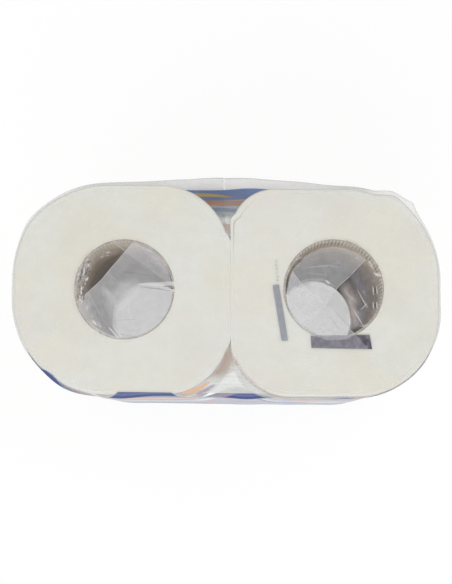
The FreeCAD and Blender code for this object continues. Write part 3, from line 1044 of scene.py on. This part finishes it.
# %% Film mesh
near_end = end_panels(True) + left_pleats() + right_pleats() + gap_streaks()
far_end = end_panels(False) + far_folds()
film = mesh_piece("printed_film", [sleeve_grid()] + near_end + far_end)
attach(film, "root")
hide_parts("film_sleeve", "film_top_end", "film_bottom_end")

# %% [markdown]
# ## Printed marks
# The printer leaves a few plain bars on the margin of the sheet, for the machine that folds
# it. They lie on the right tuck, under the flaps. Each is a small flat patch just above the
# tuck, so that its ink has its own finish.

# %% Marks
def mark(near_left, near_right, far_right, far_left, tone):
    """A flat patch between four corners, in millimetres. It follows the sag of the film."""
    sides = [(near_left, near_right), (far_left, far_right)]
    sides += [(near_left, far_left), (near_right, far_right)]
    grid = patch(*(drawn(side, 24) for side in sides))
    x, y = grid[..., 0], grid[..., 1]
    points = np.stack([x, y, near_level(x, y, 0.1 * MM)], axis=-1)
    return {"points": points, "uv": grid, "values": {"tone": np.full(x.shape, tone)}}


def marks():
    """A long upright bar with a row of small ticks above it, and a level bar, which is
    darker where fewer layers of film lie over it. The tone is 0 for the blue-grey of the
    upright bar, 0.5 and 1 for the darker ink, and -1 for the olive ticks."""
    upright = mark((25.9, -23.8), (28.9, -23.6), (24.7, 2.4), (21.7, 2.3), 0.0)
    level = mark((39.7, -27.1), (66.3, -27.6), (60.4, -21.0), (39.4, -21.3), 0.5)
    corner = mark((66.3, -27.6), (67.9, -27.7), (66.8, -21.0), (60.4, -21.0), 1.0)
    ticks = []
    for k in range(6):
        x = 24.0 - 0.15 * k + 0.25 * (k % 2)
        y = 4.0 + 1.75 * k
        top = y + 1.0
        ticks.append(mark((x - 0.6, y), (x + 0.6, y), (x + 0.55, top), (x - 0.65, top), -1.0))
    return mesh_piece("printed_bars", [upright, level, corner] + ticks)


bars = marks()
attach(bars, "root")

# %% [markdown]
# ## Materials
# Every finish is a Principled shader with a few nodes before it. Images of paper and film
# would look right from one side only, so the nodes work the colours out at each point from
# noise, from the piece's UV map and from the numbers that its points carry.
# The helpers below each add one kind of node, so that a material reads as a list of steps.

# %% Node helpers
def new_material(name, color):
    """A material with its Principled shader, and the tree to build in."""
    material = bpy.data.materials.new(name)
    material.use_nodes = True
    material.diffuse_color = (*color, 1)
    tree = material.node_tree
    shader = tree.nodes["Principled BSDF"]
    return material, tree, shader


def add_node(tree, kind, **settings):
    """A node with its settings. A setting that names an input sets that input's value, or
    links it when the value is another node's socket. A name such as _2 is an input's number."""
    node = tree.nodes.new(kind)
    for key, value in settings.items():
        if hasattr(node, key):
            setattr(node, key, value)
            continue
        name = int(key[1:]) if key[0] == "_" else key.replace("_", " ")
        socket = node.inputs[name]
        if isinstance(value, bpy.types.NodeSocket):
            tree.links.new(value, socket)
        else:
            socket.default_value = value
    return node


# %% Sums and colours
def math_node(tree, operation, a, b=0.0, clamp=False):
    """The result of one sum on numbers or sockets."""
    node = add_node(tree, "ShaderNodeMath", operation=operation, use_clamp=clamp, _0=a, _1=b)
    return node.outputs[0]


def times(tree, a, b):
    """The product of two numbers or sockets."""
    return math_node(tree, "MULTIPLY", a, b)


def plus(tree, a, b):
    """The sum of two numbers or sockets."""
    return math_node(tree, "ADD", a, b)


def minus(tree, a, b):
    """The first number or socket less the second."""
    return math_node(tree, "SUBTRACT", a, b)


def ramp(tree, value, low, high, first=0.0, last=1.0):
    """The value brought from the range low to high into the range first to last."""
    settings = {"_1": low, "_2": high, "_3": first, "_4": last, "interpolation_type": "SMOOTHSTEP"}
    return add_node(tree, "ShaderNodeMapRange", _0=value, **settings).outputs[0]


def blend_colors(tree, share, first, second):
    """The first colour where the share is 0, the second where it is 1."""
    node = add_node(tree, "ShaderNodeMix", data_type="RGBA")
    for number, value in ((0, share), (6, first), (7, second)):
        socket = node.inputs[number]
        if isinstance(value, bpy.types.NodeSocket):
            tree.links.new(value, socket)
        else:
            socket.default_value = value if not isinstance(value, tuple) else (*value[:3], 1)
    return node.outputs[2]


def attribute(tree, name):
    """The number of that name that the piece's points carry."""
    return add_node(tree, "ShaderNodeAttribute", attribute_name=name).outputs["Fac"]


def object_place(tree):
    """Where the point is, in metres."""
    return add_node(tree, "ShaderNodeTexCoord").outputs["Object"]


def parts_of(tree, place):
    """The x, y and z of a place."""
    return add_node(tree, "ShaderNodeSeparateXYZ", _0=place).outputs


def sheet_place(tree):
    """The point's u and v on the flat sheet or the winding."""
    u, v, _ = parts_of(tree, add_node(tree, "ShaderNodeUVMap", uv_map="sheet").outputs[0])
    return u, v


def noise(tree, place, scale, detail=4.0):
    """Cloudy noise about 0.5. A scale of 100 makes clouds about 10 mm wide."""
    return add_node(tree, "ShaderNodeTexNoise", Vector=place, Scale=scale, Detail=detail).outputs[0]


def clouds(tree, place, scale, detail, low, high, first=0.0, last=1.0):
    """Noise brought from the range low to high into the range first to last."""
    return ramp(tree, noise(tree, place, scale, detail), low, high, first, last)


def tinted(tree, value, color, at_one, at_minus_one):
    """The colour, drawn to one other where the value nears 1 and to another by -1."""
    color = blend_colors(tree, ramp(tree, value, 0.0, 1.0), color, at_one)
    return blend_colors(tree, ramp(tree, value, -1.0, 0.0, 1.0, 0.0), color, at_minus_one)


def roughen(tree, shader, strength, depth, height):
    """Gives the surface a fine unevenness that follows the height."""
    bump = add_node(tree, "ShaderNodeBump", Strength=strength, Distance=depth, Height=height)
    tree.links.new(bump.outputs[0], shader.inputs["Normal"])


def dress(piece, material):
    """Gives a piece its next material, and says how many nodes that finish has."""
    piece.data.materials.append(material)
    print(piece.name, "wears", material.name, "of", len(material.node_tree.nodes), "nodes")


# %% [markdown]
# ## Tissue
# Kitchen paper is a matt off-white. On its cut end the turns are pressed so flat that only
# some of them show, as faint curved lines, between clouds of cream and grey. The lines are a
# sine of the share of the way out, which the UV map holds, bent by a little noise. The first
# turns carry some glue and brown dust from the board, where the core was cut off with them.

# %% Paper
def paper_material():
    """Off-white tissue: clouds of cream and grey-white, faint turns, fibres and a few specks."""
    material, tree, shader = new_material("tissue", (0.8, 0.8, 0.74))
    place = object_place(tree)
    share = sheet_place(tree)[1]
    cream = clouds(tree, place, 38.0, 5.0, 0.38, 0.64)
    color = blend_colors(tree, cream, (0.79, 0.80, 0.745), (0.80, 0.775, 0.69))
    patches = clouds(tree, place, 21.0, 3.0, 0.5, 0.72, 0.0, 0.7)
    color = blend_colors(tree, patches, color, (0.785, 0.755, 0.72))
    uneven = clouds(tree, place, 330.0, 4.0, 0.35, 0.62, 0.3, 1.0)
    rubbed = times(tree, attribute(tree, "rubbed"), uneven)
    color = blend_colors(tree, rubbed, color, (0.56, 0.50, 0.42))
    # painted shade: the groove where the last turn has come loose is painted darker brown
    groove = times(tree, attribute(tree, "groove"), 0.5)
    color = blend_colors(tree, groove, color, (0.58, 0.48, 0.34))
    mottle = clouds(tree, place, 190.0, 4.0, 0.38, 0.66, 0.0, 0.55)
    color = blend_colors(tree, mottle, color, (0.765, 0.755, 0.695))
    speck = clouds(tree, place, 520.0, 1.0, 0.80, 0.84, 0.0, 0.35)
    color = blend_colors(tree, speck, color, (0.42, 0.38, 0.34))
    bend = times(tree, noise(tree, place, 26.0, 2.0), 0.09)
    turns = times(tree, plus(tree, share, bend), 420.0)
    turns = math_node(tree, "SINE", turns)
    seen = clouds(tree, place, 30.0, 1.0, 0.5, 0.66)
    turns = times(tree, turns, seen)
    color = blend_colors(tree, ramp(tree, turns, 0.3, 1.0, 0.0, 0.22), color, (0.70, 0.65, 0.55))
    tree.links.new(color, shader.inputs["Base Color"])
    fibre = noise(tree, place, 900.0, 4.0)
    height = plus(tree, fibre, times(tree, turns, 0.22))
    roughen(tree, shader, 0.3, 0.3 * MM, height)
    shader.inputs["Roughness"].default_value = 0.95
    shader.inputs["Specular IOR Level"].default_value = 0.1
    return material


tissue = paper_material()
dress(left_roll, tissue)
dress(right_roll, tissue)


# %% [markdown]
# ## Board
# The tubes are of recycled board, so their colour is uneven and full of fibres. The spiral
# seam shows as a darker line. Towards the cut rim the board is painted paler in uneven
# patches, as painted light where the lamps reach into the bore, with the ribs that the
# winding left. The seam is where the turn and the height add up to a whole number and a half.

# %% Board
def board_material():
    """Grey-brown board: fibres along the winding, a darker seam, and towards the rim a paler colour
    in patches, which is painted light.
    """
    material, tree, shader = new_material("board", (0.45, 0.37, 0.29))
    place = object_place(tree)
    side, _, height = parts_of(tree, place)
    turn, climb = sheet_place(tree)
    wind = math_node(tree, "FRACT", plus(tree, turn, climb))
    off_seam = math_node(tree, "ABSOLUTE", minus(tree, wind, 0.5))
    seam = ramp(tree, off_seam, 0.004, 0.02, 0.75, 0.0)
    fibres = noise(tree, place, 240.0, 6.0)
    color = blend_colors(tree, fibres, (0.64, 0.54, 0.43), (0.81, 0.71, 0.59))
    cloud = clouds(tree, place, 60.0, 3.0, 0.4, 0.65, 0.0, 0.5)
    color = blend_colors(tree, cloud, color, (0.54, 0.46, 0.40))
    color = blend_colors(tree, seam, color, (0.16, 0.12, 0.10))
    rim_patches = clouds(tree, place, 300.0, 3.0, 0.35, 0.65, 0.5, 1.0)
    # painted light: the board is painted paler towards the rim, where the lamps light the wall of
    # the bore
    rim = ramp(tree, height, ROLL_TOP - 34 * MM, ROLL_TOP - 6 * MM, 0.0, 0.85)
    color = blend_colors(tree, times(tree, rim, rim_patches), color, (0.90, 0.85, 0.76))
    ribs = times(tree, turn, 2 * math.pi * RIM_RIBS)
    ribs = ramp(tree, math_node(tree, "SINE", ribs), -0.2, 0.9)
    ribs = times(tree, ribs, ramp(tree, cloud, 0.0, 0.5, 0.45, 1.0))
    near_rim = ramp(tree, height, ROLL_TOP - 30 * MM, ROLL_TOP - 8 * MM)
    # the dark stripes of the ribs are fainter on the left tube
    near_rim = times(tree, near_rim, ramp(tree, side, -10 * MM, 10 * MM, 0.3, 0.85))
    ribs = times(tree, ribs, near_rim)
    color = blend_colors(tree, ribs, color, (0.36, 0.29, 0.23))
    lip = ramp(tree, height, ROLL_TOP - 1.0 * MM, ROLL_TOP - 0.4 * MM, 0.0, 0.9)
    color = blend_colors(tree, times(tree, lip, rim_patches), color, (0.34, 0.32, 0.29))
    tree.links.new(color, shader.inputs["Base Color"])
    roughen(tree, shader, 0.4, 0.2 * MM, noise(tree, place, 700.0, 3.0))
    shader.inputs["Roughness"].default_value = 0.85
    return material


board = board_material()
dress(left_core, board)
dress(right_core, board)


# %% [markdown]
# ## The print
# The sleeve is printed with a plain design of wavy bands and leaf shapes in blue, orange,
# yellow and lavender, round a clear window that shows the paper. The ink is drawn by the
# sheet's own map: u is the distance round the sleeve from the lap, and v is the height. A
# band lies between two sine waves, and a leaf is the space under a parabola and its mirror
# image, repeated round the sleeve. Waves and leaves go round a whole number of times, so
# that the print matches where the sheet laps over itself.

# %% Bands and leaves
TOP_WAVES = 11
# a crest of the top band's upper edge stands 9 mm to the right of the middle of the front
TOP_CREST = along_at(math.radians(270)) + 9 * MM
TOP_SHIFT = math.pi / 2 - TOP_WAVES * 2 * math.pi * TOP_CREST / GIRTH
# name, low and high edge in millimetres from the bottom, swing, waves round the pack, shift,
# colour and cover
BANDS = [
    ("foot", -16, 14, 4, 3, 0.4, (0.05, 0.12, 0.38), 0.93),
    ("wide", 17, 69, 6, 2, 1.0, (0.88, 0.49, 0.26), 0.75),
    ("wide's edge", 69, 72, 6, 2, 1.0, (0.88, 0.87, 0.84), 0.75),
    ("green", 98, 107, 5, 2, 2.6, (0.62, 0.70, 0.66), 0.45),
    ("sky", 107, 127, 5, 2, 2.6, (0.50, 0.66, 0.82), 0.78),
    ("blue", 127, 142, 4, 3, 1.2, (0.13, 0.27, 0.58), 0.92),
    ("lavender", 142, 154, 4, 3, 1.2, (0.55, 0.53, 0.64), 0.70),
    ("red", 154, 174, 3, 3, 2.2, (0.74, 0.30, 0.18), 0.88),
    ("red's edge", 174, 178, 3, 3, 2.2, (0.90, 0.88, 0.88), 0.85),
    ("top", 178, 211.3, 3.0, TOP_WAVES, TOP_SHIFT, (0.045, 0.08, 0.26), 0.93),
]
AT_BACK = {"top": (0.04, 0.15, 0.50)}  # the top band is a lighter blue at the back
AT_FRONT = {"wide": (0.50, 0.48, 0.60)}  # and the wide band is lavender at the front
CREST = 13 * MM  # how much the print is lowered at the back and raised at the front
LEFT_RISE = 5.5 * MM  # how much higher the top band reaches at the left of the front
LEFT_FRONT = ((1.7, 2.1), (2.75, 3.0))  # where it rises and falls again, as angles from the lap
# how many leaves go round the pack, and each one's height, length, width, lean and shift
LEAVES = [(11, 193, 30, 11, 0.30, 0.28), (10, 60, 38, 15, -0.5, 0.0), (15, 118, 18, 7, 0.7, 0.0)]
LEAF_EDGE = (0.70, 0.17, 0.12)


# %% Masks of the print
def wave_edge(tree, around, level, swing, waves, shift):
    """The height of a wavy edge: level + swing * sin(waves * around + shift)."""
    turn = times(tree, around, float(waves))
    wave = math_node(tree, "SINE", plus(tree, turn, shift))
    wave = times(tree, wave, swing * MM)
    return plus(tree, wave, level * MM)


def band_mask(tree, around, height, low, high, swing, waves, shift):
    """1 between a band's two wavy edges. The upper edge swings a little more."""
    foot = wave_edge(tree, around, low, swing, waves, shift)
    above = minus(tree, height, foot)
    top = wave_edge(tree, around, high, swing * 1.3, waves, shift)
    below = minus(tree, top, height)
    return ramp(tree, math_node(tree, "MINIMUM", above, below), -0.3 * MM, 0.3 * MM)


def leaf_masks(tree, along, height, count, level, length, width, lean, shift):
    """A row of so many leaves round the pack: the mask of each leaf, the mask of its outline,
    and a number that differs from leaf to leaf. Each leaf leans by an angle, and is as wide at
    a distance x from its middle as width * (1 - (2x / length)^2). The row repeats past the
    girth, so that the print matches at the lap."""
    spacing = GIRTH / count
    cell = plus(tree, math_node(tree, "DIVIDE", along, spacing), shift)
    number = math_node(tree, "MODULO", math_node(tree, "FLOOR", cell), float(count))
    x = minus(tree, math_node(tree, "FRACT", cell), 0.5)
    x = times(tree, x, spacing)
    y = minus(tree, height, level * MM)
    run = times(tree, x, math.cos(lean))
    run = plus(tree, run, times(tree, y, math.sin(lean)))
    off = times(tree, y, math.cos(lean))
    off = minus(tree, off, times(tree, x, math.sin(lean)))
    part = math_node(tree, "DIVIDE", run, length / 2 * MM)
    room = minus(tree, 1.0, times(tree, part, part))
    room = times(tree, room, width / 2 * MM)
    inside = minus(tree, room, math_node(tree, "ABSOLUTE", off))
    leaf = ramp(tree, inside, -0.2 * MM, 0.2 * MM)
    outline = ramp(tree, inside, -1.0 * MM, -0.7 * MM)
    pick = math_node(tree, "FRACT", times(tree, number, 0.382))
    return leaf, outline, pick


# %% Print
def printed(tree):
    """The ink's colour and how much of the film it covers at each point of the sheet: the
    bands from the bottom up, and the leaves over them."""
    along, up = sheet_place(tree)
    around = times(tree, along, 2 * math.pi / GIRTH)
    at_back = math_node(tree, "COSINE", around)
    crest = times(tree, at_back, CREST)
    height = plus(tree, up, crest)
    color, cover = (0.9, 0.9, 0.93), 0.0
    for name, low, high, swing, waves, shift, ink, strength in BANDS:
        level = height
        if name == "top":
            rises, falls = LEFT_FRONT
            left = ramp(tree, around, *falls, 1.0, 0.0)
            left = times(tree, ramp(tree, around, *rises), left)
            rise = times(tree, left, LEFT_RISE)
            level = minus(tree, height, rise)
        if name in AT_BACK:
            ink = blend_colors(tree, ramp(tree, at_back, 0.4, 0.9), ink, AT_BACK[name])
        if name in AT_FRONT:
            at_front = ramp(tree, at_back, -0.9, -0.5, 1.0, 0.0)
            ink = blend_colors(tree, at_front, ink, AT_FRONT[name])
        mask = band_mask(tree, around, level, low, high, swing, waves, shift)
        color = blend_colors(tree, mask, color, ink)
        mask = times(tree, mask, strength)
        cover = math_node(tree, "MAXIMUM", cover, mask)
    for row in LEAVES:
        leaf, outline, pick = leaf_masks(tree, along, height, *row)
        color = blend_colors(tree, outline, color, LEAF_EDGE)
        first = ramp(tree, pick, 0.40, 0.41)
        fill = blend_colors(tree, first, (0.86, 0.70, 0.16), (0.84, 0.38, 0.13))
        fill = blend_colors(tree, ramp(tree, pick, 0.75, 0.76), fill, (0.10, 0.16, 0.42))
        color = blend_colors(tree, leaf, color, fill)
        cover = math_node(tree, "MAXIMUM", cover, times(tree, outline, 0.9))
    return color, cover


# %% [markdown]
# ## The film's finish
# The film is a clear, slightly milky plastic. It shows as a thin haze, which thickens where
# the film is seen edge-on: light crosses 1 / cosine times as much of it. Over the bores the
# haze stands out against the dark, while on the paper the film clings and all but
# disappears. Bright lines are painted along folded edges and crumples as painted highlights.
# The haze scatters light on rather than stopping it, so it casts only a faint shadow.
# The ends and the printed sleeve have a material each, with the same wrinkles, so those are
# a node group. A plain mix of glass and diffuse shaders would do too, but a single
# Principled shader with its alpha from nodes is what other programs can read.
# From inside the pack the ink is lit from behind, and looks brighter.

# %% Wrinkles of the film
def wrinkle_group():
    """Cloud: how milky the film is, from 0.94 to 1.06, in soft patches a few millimetres wide.
    Streak: thin drawn-out creases, the crests of a noise that is squeezed in one direction,
    where it comes near the middle of its range. Height: the creases and a fine unevenness,
    for a bump."""
    group = bpy.data.node_groups.new("film_wrinkles", "ShaderNodeTree")
    group.interface.new_socket(name="Place", in_out="INPUT", socket_type="NodeSocketVector")
    for name in ("Cloud", "Streak", "Height"):
        group.interface.new_socket(name=name, in_out="OUTPUT", socket_type="NodeSocketFloat")
    place = group.nodes.new("NodeGroupInput").outputs["Place"]
    cloud = clouds(group, place, 330.0, 7.0, 0.34, 0.66, 0.94, 1.06)
    streaks = 0.0
    for turn, scale in ((0.5, 260.0), (-0.9, 330.0)):
        turned = add_node(group, "ShaderNodeVectorRotate", Vector=place, Angle=turn).outputs[0]
        squeeze = {"operation": "MULTIPLY", "_0": turned, "_1": (0.16, 1, 1)}
        drawn_out = add_node(group, "ShaderNodeVectorMath", **squeeze).outputs[0]
        wave = noise(group, drawn_out, scale, 2.0)
        off = math_node(group, "ABSOLUTE", minus(group, wave, 0.5))
        streaks = math_node(group, "MAXIMUM", streaks, ramp(group, off, 0.0, 0.018, 1.0, 0.0))
    patchy = clouds(group, place, 90.0, 2.0, 0.46, 0.64)
    streaks = times(group, streaks, patchy)
    grain = times(group, noise(group, place, 700.0, 3.0), 0.2)
    height = plus(group, grain, times(group, streaks, 0.5))
    ends = group.nodes.new("NodeGroupOutput")
    for name, value in (("Cloud", cloud), ("Streak", streaks), ("Height", height)):
        group.links.new(value, ends.inputs[name])
    return group


WRINKLES = wrinkle_group()


# %% How much the film hides
# For each bore: how far forward the milky film lies in it, and how much smaller it is than
# the core, so that the rim shows clear at the back.
MILKY = [(0.7 * MM, 0.6 * MM), (2.0 * MM, 1.2 * MM)]


def over_bores(tree, place):
    """1 over the two bores and 0 elsewhere, from the distance to their axes with a little
    noise added."""
    flat = add_node(tree, "ShaderNodeVectorMath", operation="MULTIPLY", _0=place, _1=(1, 1, 0))
    inside = 0.0
    uneven = times(tree, noise(tree, place, 210.0, 4.0), 1.6 * MM)
    for (cx, cy), (forward, less) in zip(CORE_MIDDLES, MILKY):
        ends = {"operation": "DISTANCE", "_0": flat.outputs[0], "_1": (cx, cy - forward, 0)}
        away = add_node(tree, "ShaderNodeVectorMath", **ends)
        away = plus(tree, away.outputs["Value"], uneven)
        radius = CORE_RADIUS - less + 0.8 * MM
        bore = ramp(tree, away, radius - 0.9 * MM, radius + 0.3 * MM, 1.0, 0.0)
        inside = math_node(tree, "MAXIMUM", inside, bore)
    return inside


def seen_through(tree, haze):
    """How much light passes the film: (1 - haze) to the power 1 / cosine."""
    clear = math_node(tree, "SUBTRACT", 1.0, haze, clamp=True)
    facing = add_node(tree, "ShaderNodeLayerWeight", Blend=0.5).outputs["Facing"]
    cosine = math_node(tree, "MAXIMUM", minus(tree, 1.0, facing), 0.12)
    return math_node(tree, "POWER", clear, math_node(tree, "DIVIDE", 1.0, cosine))


def soft_light(tree):
    """1 for the rays that carry light from the lamps and from other surfaces."""
    path = add_node(tree, "ShaderNodeLightPath").outputs
    return math_node(tree, "MAXIMUM", path["Is Shadow Ray"], path["Is Diffuse Ray"])


def to_lamps(tree, clear):
    """Lets soft light through, whatever the haze is, because what the haze scatters still
    arrives."""
    return math_node(tree, "MAXIMUM", clear, times(tree, soft_light(tree), 0.97))


def blocked(tree, cover):
    """How much light the ink stops. To the eye it covers, but half of the light that falls
    on it still passes into the pack."""
    share = ramp(tree, soft_light(tree), 0.0, 1.0, 1.0, 0.45)
    return times(tree, cover, share)


def dimmed(tree, clear, cover):
    """What is left of the light when something covers a share of it: clear * (1 - cover)."""
    return times(tree, clear, minus(tree, 1.0, cover))


def edge_line(tree, strength):
    """A painted highlight along a free edge: a bright line from the distance to the edge."""
    line = ramp(tree, attribute(tree, "edge"), 0.12 * MM, 0.42 * MM, 1.0, 0.0)
    line = times(tree, line, attribute(tree, "line"))
    return times(tree, line, strength)


def finish_film(tree, shader, clear, color, height):
    """Links the film's transparency, colour and bump to its shader."""
    alpha = math_node(tree, "SUBTRACT", 1.0, clear, clamp=True)
    tree.links.new(alpha, shader.inputs["Alpha"])
    tree.links.new(color, shader.inputs["Base Color"])
    roughen(tree, shader, 0.22, 0.5 * MM, height)
    shader.inputs["Roughness"].default_value = 0.3
    shader.inputs["IOR"].default_value = 1.6


# %% Film of the ends
def end_film_material():
    """Clear film: the haze and the crumples in its alpha, and their tone in its colour, as painted
    highlights and painted shade.
    """
    material, tree, shader = new_material("clear_film", (0.9, 0.9, 0.95))
    place = object_place(tree)
    bores = over_bores(tree, place)
    off_paper = math_node(tree, "MAXIMUM", bores, attribute(tree, "gap"))
    wrinkles = add_node(tree, "ShaderNodeGroup", node_tree=WRINKLES, Place=place).outputs
    haze = times(tree, attribute(tree, "haze"), wrinkles["Cloud"])
    over_gap = times(tree, attribute(tree, "gap"), 0.12)
    share = plus(tree, ramp(tree, off_paper, 0.0, 1.0, 0.012, 0.1), over_gap)
    haze = times(tree, haze, share)
    streaks = ramp(tree, off_paper, 0.0, 1.0, 0.02, 0.07)
    streaks = times(tree, wrinkles["Streak"], streaks)
    haze = plus(tree, haze, streaks)
    haze = plus(tree, haze, attribute(tree, "crumple"))
    clear = seen_through(tree, haze)
    line = times(tree, edge_line(tree, 0.4), ramp(tree, bores, 0.0, 1.0, 0.06, 1.0))
    clear = dimmed(tree, clear, line)
    # painted shade: the film's colour is darker over the gap and darker still over the bores
    color = blend_colors(tree, attribute(tree, "gap"), (0.95, 0.95, 0.955), (0.75, 0.765, 0.74))
    color = blend_colors(tree, bores, color, (0.71, 0.706, 0.722))
    tone = attribute(tree, "tone")
    # painted highlights towards cream where the tone is above 0, painted shade towards black below
    # 0
    color = tinted(tree, tone, color, (0.93, 0.91, 0.87), (0.09, 0.075, 0.08))
    # the tint: print on the strokes in the gap, and elsewhere a lavender or brownish tint of the
    # painted shade
    ink = attribute(tree, "ink")
    color = tinted(tree, ink, color, (0.78, 0.47, 0.29), (0.36, 0.31, 0.44))
    finish_film(tree, shader, to_lamps(tree, clear), color, wrinkles["Height"])
    return material


# %% Film of the sleeve
# painted light: from inside, the ink's colour is painted up to BACKLIT times brighter
BACKLIT = 2.2  # how many times brighter the ink looks from inside, at most
BRIGHTEST = 0.95  # what no part of its colour goes past then


def sleeve_film_material():
    """Printed film: milky where it is bare, and covered by the ink elsewhere."""
    material, tree, shader = new_material("printed_film", (0.5, 0.5, 0.7))
    place = object_place(tree)
    wrinkles = add_node(tree, "ShaderNodeGroup", node_tree=WRINKLES, Place=place).outputs
    haze = times(tree, attribute(tree, "haze"), 0.15)
    haze = times(tree, haze, wrinkles["Cloud"])
    haze = plus(tree, haze, times(tree, wrinkles["Streak"], 0.10))
    clear = seen_through(tree, haze)
    clear = to_lamps(tree, dimmed(tree, clear, edge_line(tree, 0.5)))
    ink, cover = printed(tree)
    clear = dimmed(tree, clear, blocked(tree, cover))
    inside = add_node(tree, "ShaderNodeNewGeometry").outputs["Backfacing"]
    parts = add_node(tree, "ShaderNodeSeparateColor", _0=ink).outputs
    brightest = math_node(tree, "MAXIMUM", parts[0], parts[1])
    brightest = math_node(tree, "MAXIMUM", brightest, parts[2])
    gain = math_node(tree, "DIVIDE", BRIGHTEST, brightest)
    gain = math_node(tree, "MINIMUM", gain, BACKLIT)
    lit = add_node(tree, "ShaderNodeVectorMath", operation="SCALE", _0=ink, Scale=gain).outputs[0]
    # painted backlight on the inside of the sleeve
    ink = blend_colors(tree, inside, ink, lit)
    color = blend_colors(tree, ramp(tree, cover, 0.0, 0.3), (0.93, 0.93, 0.945), ink)
    finish_film(tree, shader, clear, color, wrinkles["Height"])
    return material


dress(film, sleeve_film_material())
dress(film, end_film_material())


# %% Ink of the marks
def ink_material():
    """Blue-grey ink that has rubbed thin in places, darker or olive by the mark's tone."""
    material, tree, shader = new_material("ink", (0.3, 0.32, 0.38))
    place = object_place(tree)
    tone = attribute(tree, "tone")
    worn = noise(tree, place, 420.0, 4.0)
    dark = ramp(tree, tone, 0.0, 0.5)
    color = blend_colors(tree, dark, (0.29, 0.32, 0.37), (0.15, 0.14, 0.185))
    color = blend_colors(tree, ramp(tree, tone, 0.6, 1.0), color, (0.06, 0.05, 0.08))
    color = blend_colors(tree, ramp(tree, tone, -1.0, -0.2, 1.0, 0.0), color, (0.60, 0.58, 0.46))
    patches = clouds(tree, place, 300.0, 7.0, 0.42, 0.62, 0.0, 0.6)
    color = blend_colors(tree, patches, color, (0.27, 0.26, 0.31))
    tree.links.new(color, shader.inputs["Base Color"])
    cover = ramp(tree, worn, 0.3, 0.7, 0.95, 0.84)
    cover = times(tree, cover, ramp(tree, tone, -1.0, -0.2, 0.45, 1.0))
    tree.links.new(cover, shader.inputs["Alpha"])
    shader.inputs["Roughness"].default_value = 0.5
    return material


dress(bars, ink_material())

# %% [markdown]
# ## Floor and light
# The floor is white to the eye and keeps a faint shadow, and it is a plain pale grey to the
# light that bounces off it, so that it doesn't flood the pack with light from below.
# Two broad lamps hang nearly overhead, so that their light reaches down into the bores.

# %% Floor
def floor_material():
    """Pale grey to soft light. To the eye and to gloss, a white glow with a weak diffuse part
    that keeps the shadow."""
    material = bpy.data.materials.new("floor")
    material.use_nodes = True
    tree = material.node_tree
    tree.nodes.clear()
    output = add_node(tree, "ShaderNodeOutputMaterial")
    path = add_node(tree, "ShaderNodeLightPath")
    seen = plus(tree, path.outputs["Is Camera Ray"], path.outputs["Is Glossy Ray"])
    seen = math_node(tree, "ADD", seen, path.outputs["Is Transmission Ray"], clamp=True)
    plain = add_node(tree, "ShaderNodeBsdfDiffuse", Color=(0.8, 0.8, 0.8, 1))
    weak = add_node(tree, "ShaderNodeBsdfDiffuse", Color=(0.12, 0.12, 0.12, 1))
    glow = add_node(tree, "ShaderNodeEmission", Color=(1, 1, 1, 1), Strength=0.9)
    both = add_node(tree, "ShaderNodeAddShader", _0=weak.outputs[0], _1=glow.outputs[0])
    mix = add_node(tree, "ShaderNodeMixShader", _0=seen, _1=plain.outputs[0], _2=both.outputs[0])
    tree.links.new(mix.outputs[0], output.inputs["Surface"])
    return material


FLOOR_HALF = 3.0
floor_mesh = bpy.data.meshes.new("floor")
floor_corners = [(-FLOOR_HALF, -FLOOR_HALF, 0), (FLOOR_HALF, -FLOOR_HALF, 0)]
floor_corners += [(FLOOR_HALF, FLOOR_HALF, 0), (-FLOOR_HALF, FLOOR_HALF, 0)]
floor_mesh.from_pydata(floor_corners, [], [(0, 1, 2, 3)])
floor = bpy.data.objects.new("floor", floor_mesh)
bpy.context.scene.collection.objects.link(floor)
floor_mesh.materials.append(floor_material())


# %% Lamps and world
def lamp(name, place, target, size, power):
    """A soft square lamp that faces its target."""
    data = bpy.data.lights.new(name, "AREA")
    data.shape = "SQUARE"
    data.size = size
    data.energy = power
    light = bpy.data.objects.new(name, data)
    light.matrix_world = aimed(place, target, (0.01, 1, 0.02))
    bpy.context.scene.collection.objects.link(light)


lamp("key", (-0.3, -1.0, 1.6), (0, 0, 0.15), 1.2, 10.4)
lamp("fill", (0.5, 0.25, 1.9), (0, 0, 0.15), 1.0, 6)

world = bpy.data.worlds.new("studio")
bpy.context.scene.world = world
world.use_nodes = True
world_back = world.node_tree.nodes["Background"]
world_back.inputs["Color"].default_value = (1, 1, 1, 1)
world_back.inputs["Strength"].default_value = 0.52

# %% [markdown]
# ## Finish
# Standard view settings show each colour about as it is written. Light passes up to a dozen
# layers of film on its way down a bore and up again, so the renderer is allowed that many.

# %% View settings
bpy.context.scene.view_settings.view_transform = "Standard"
bpy.context.scene.cycles.transparent_max_bounces = 32
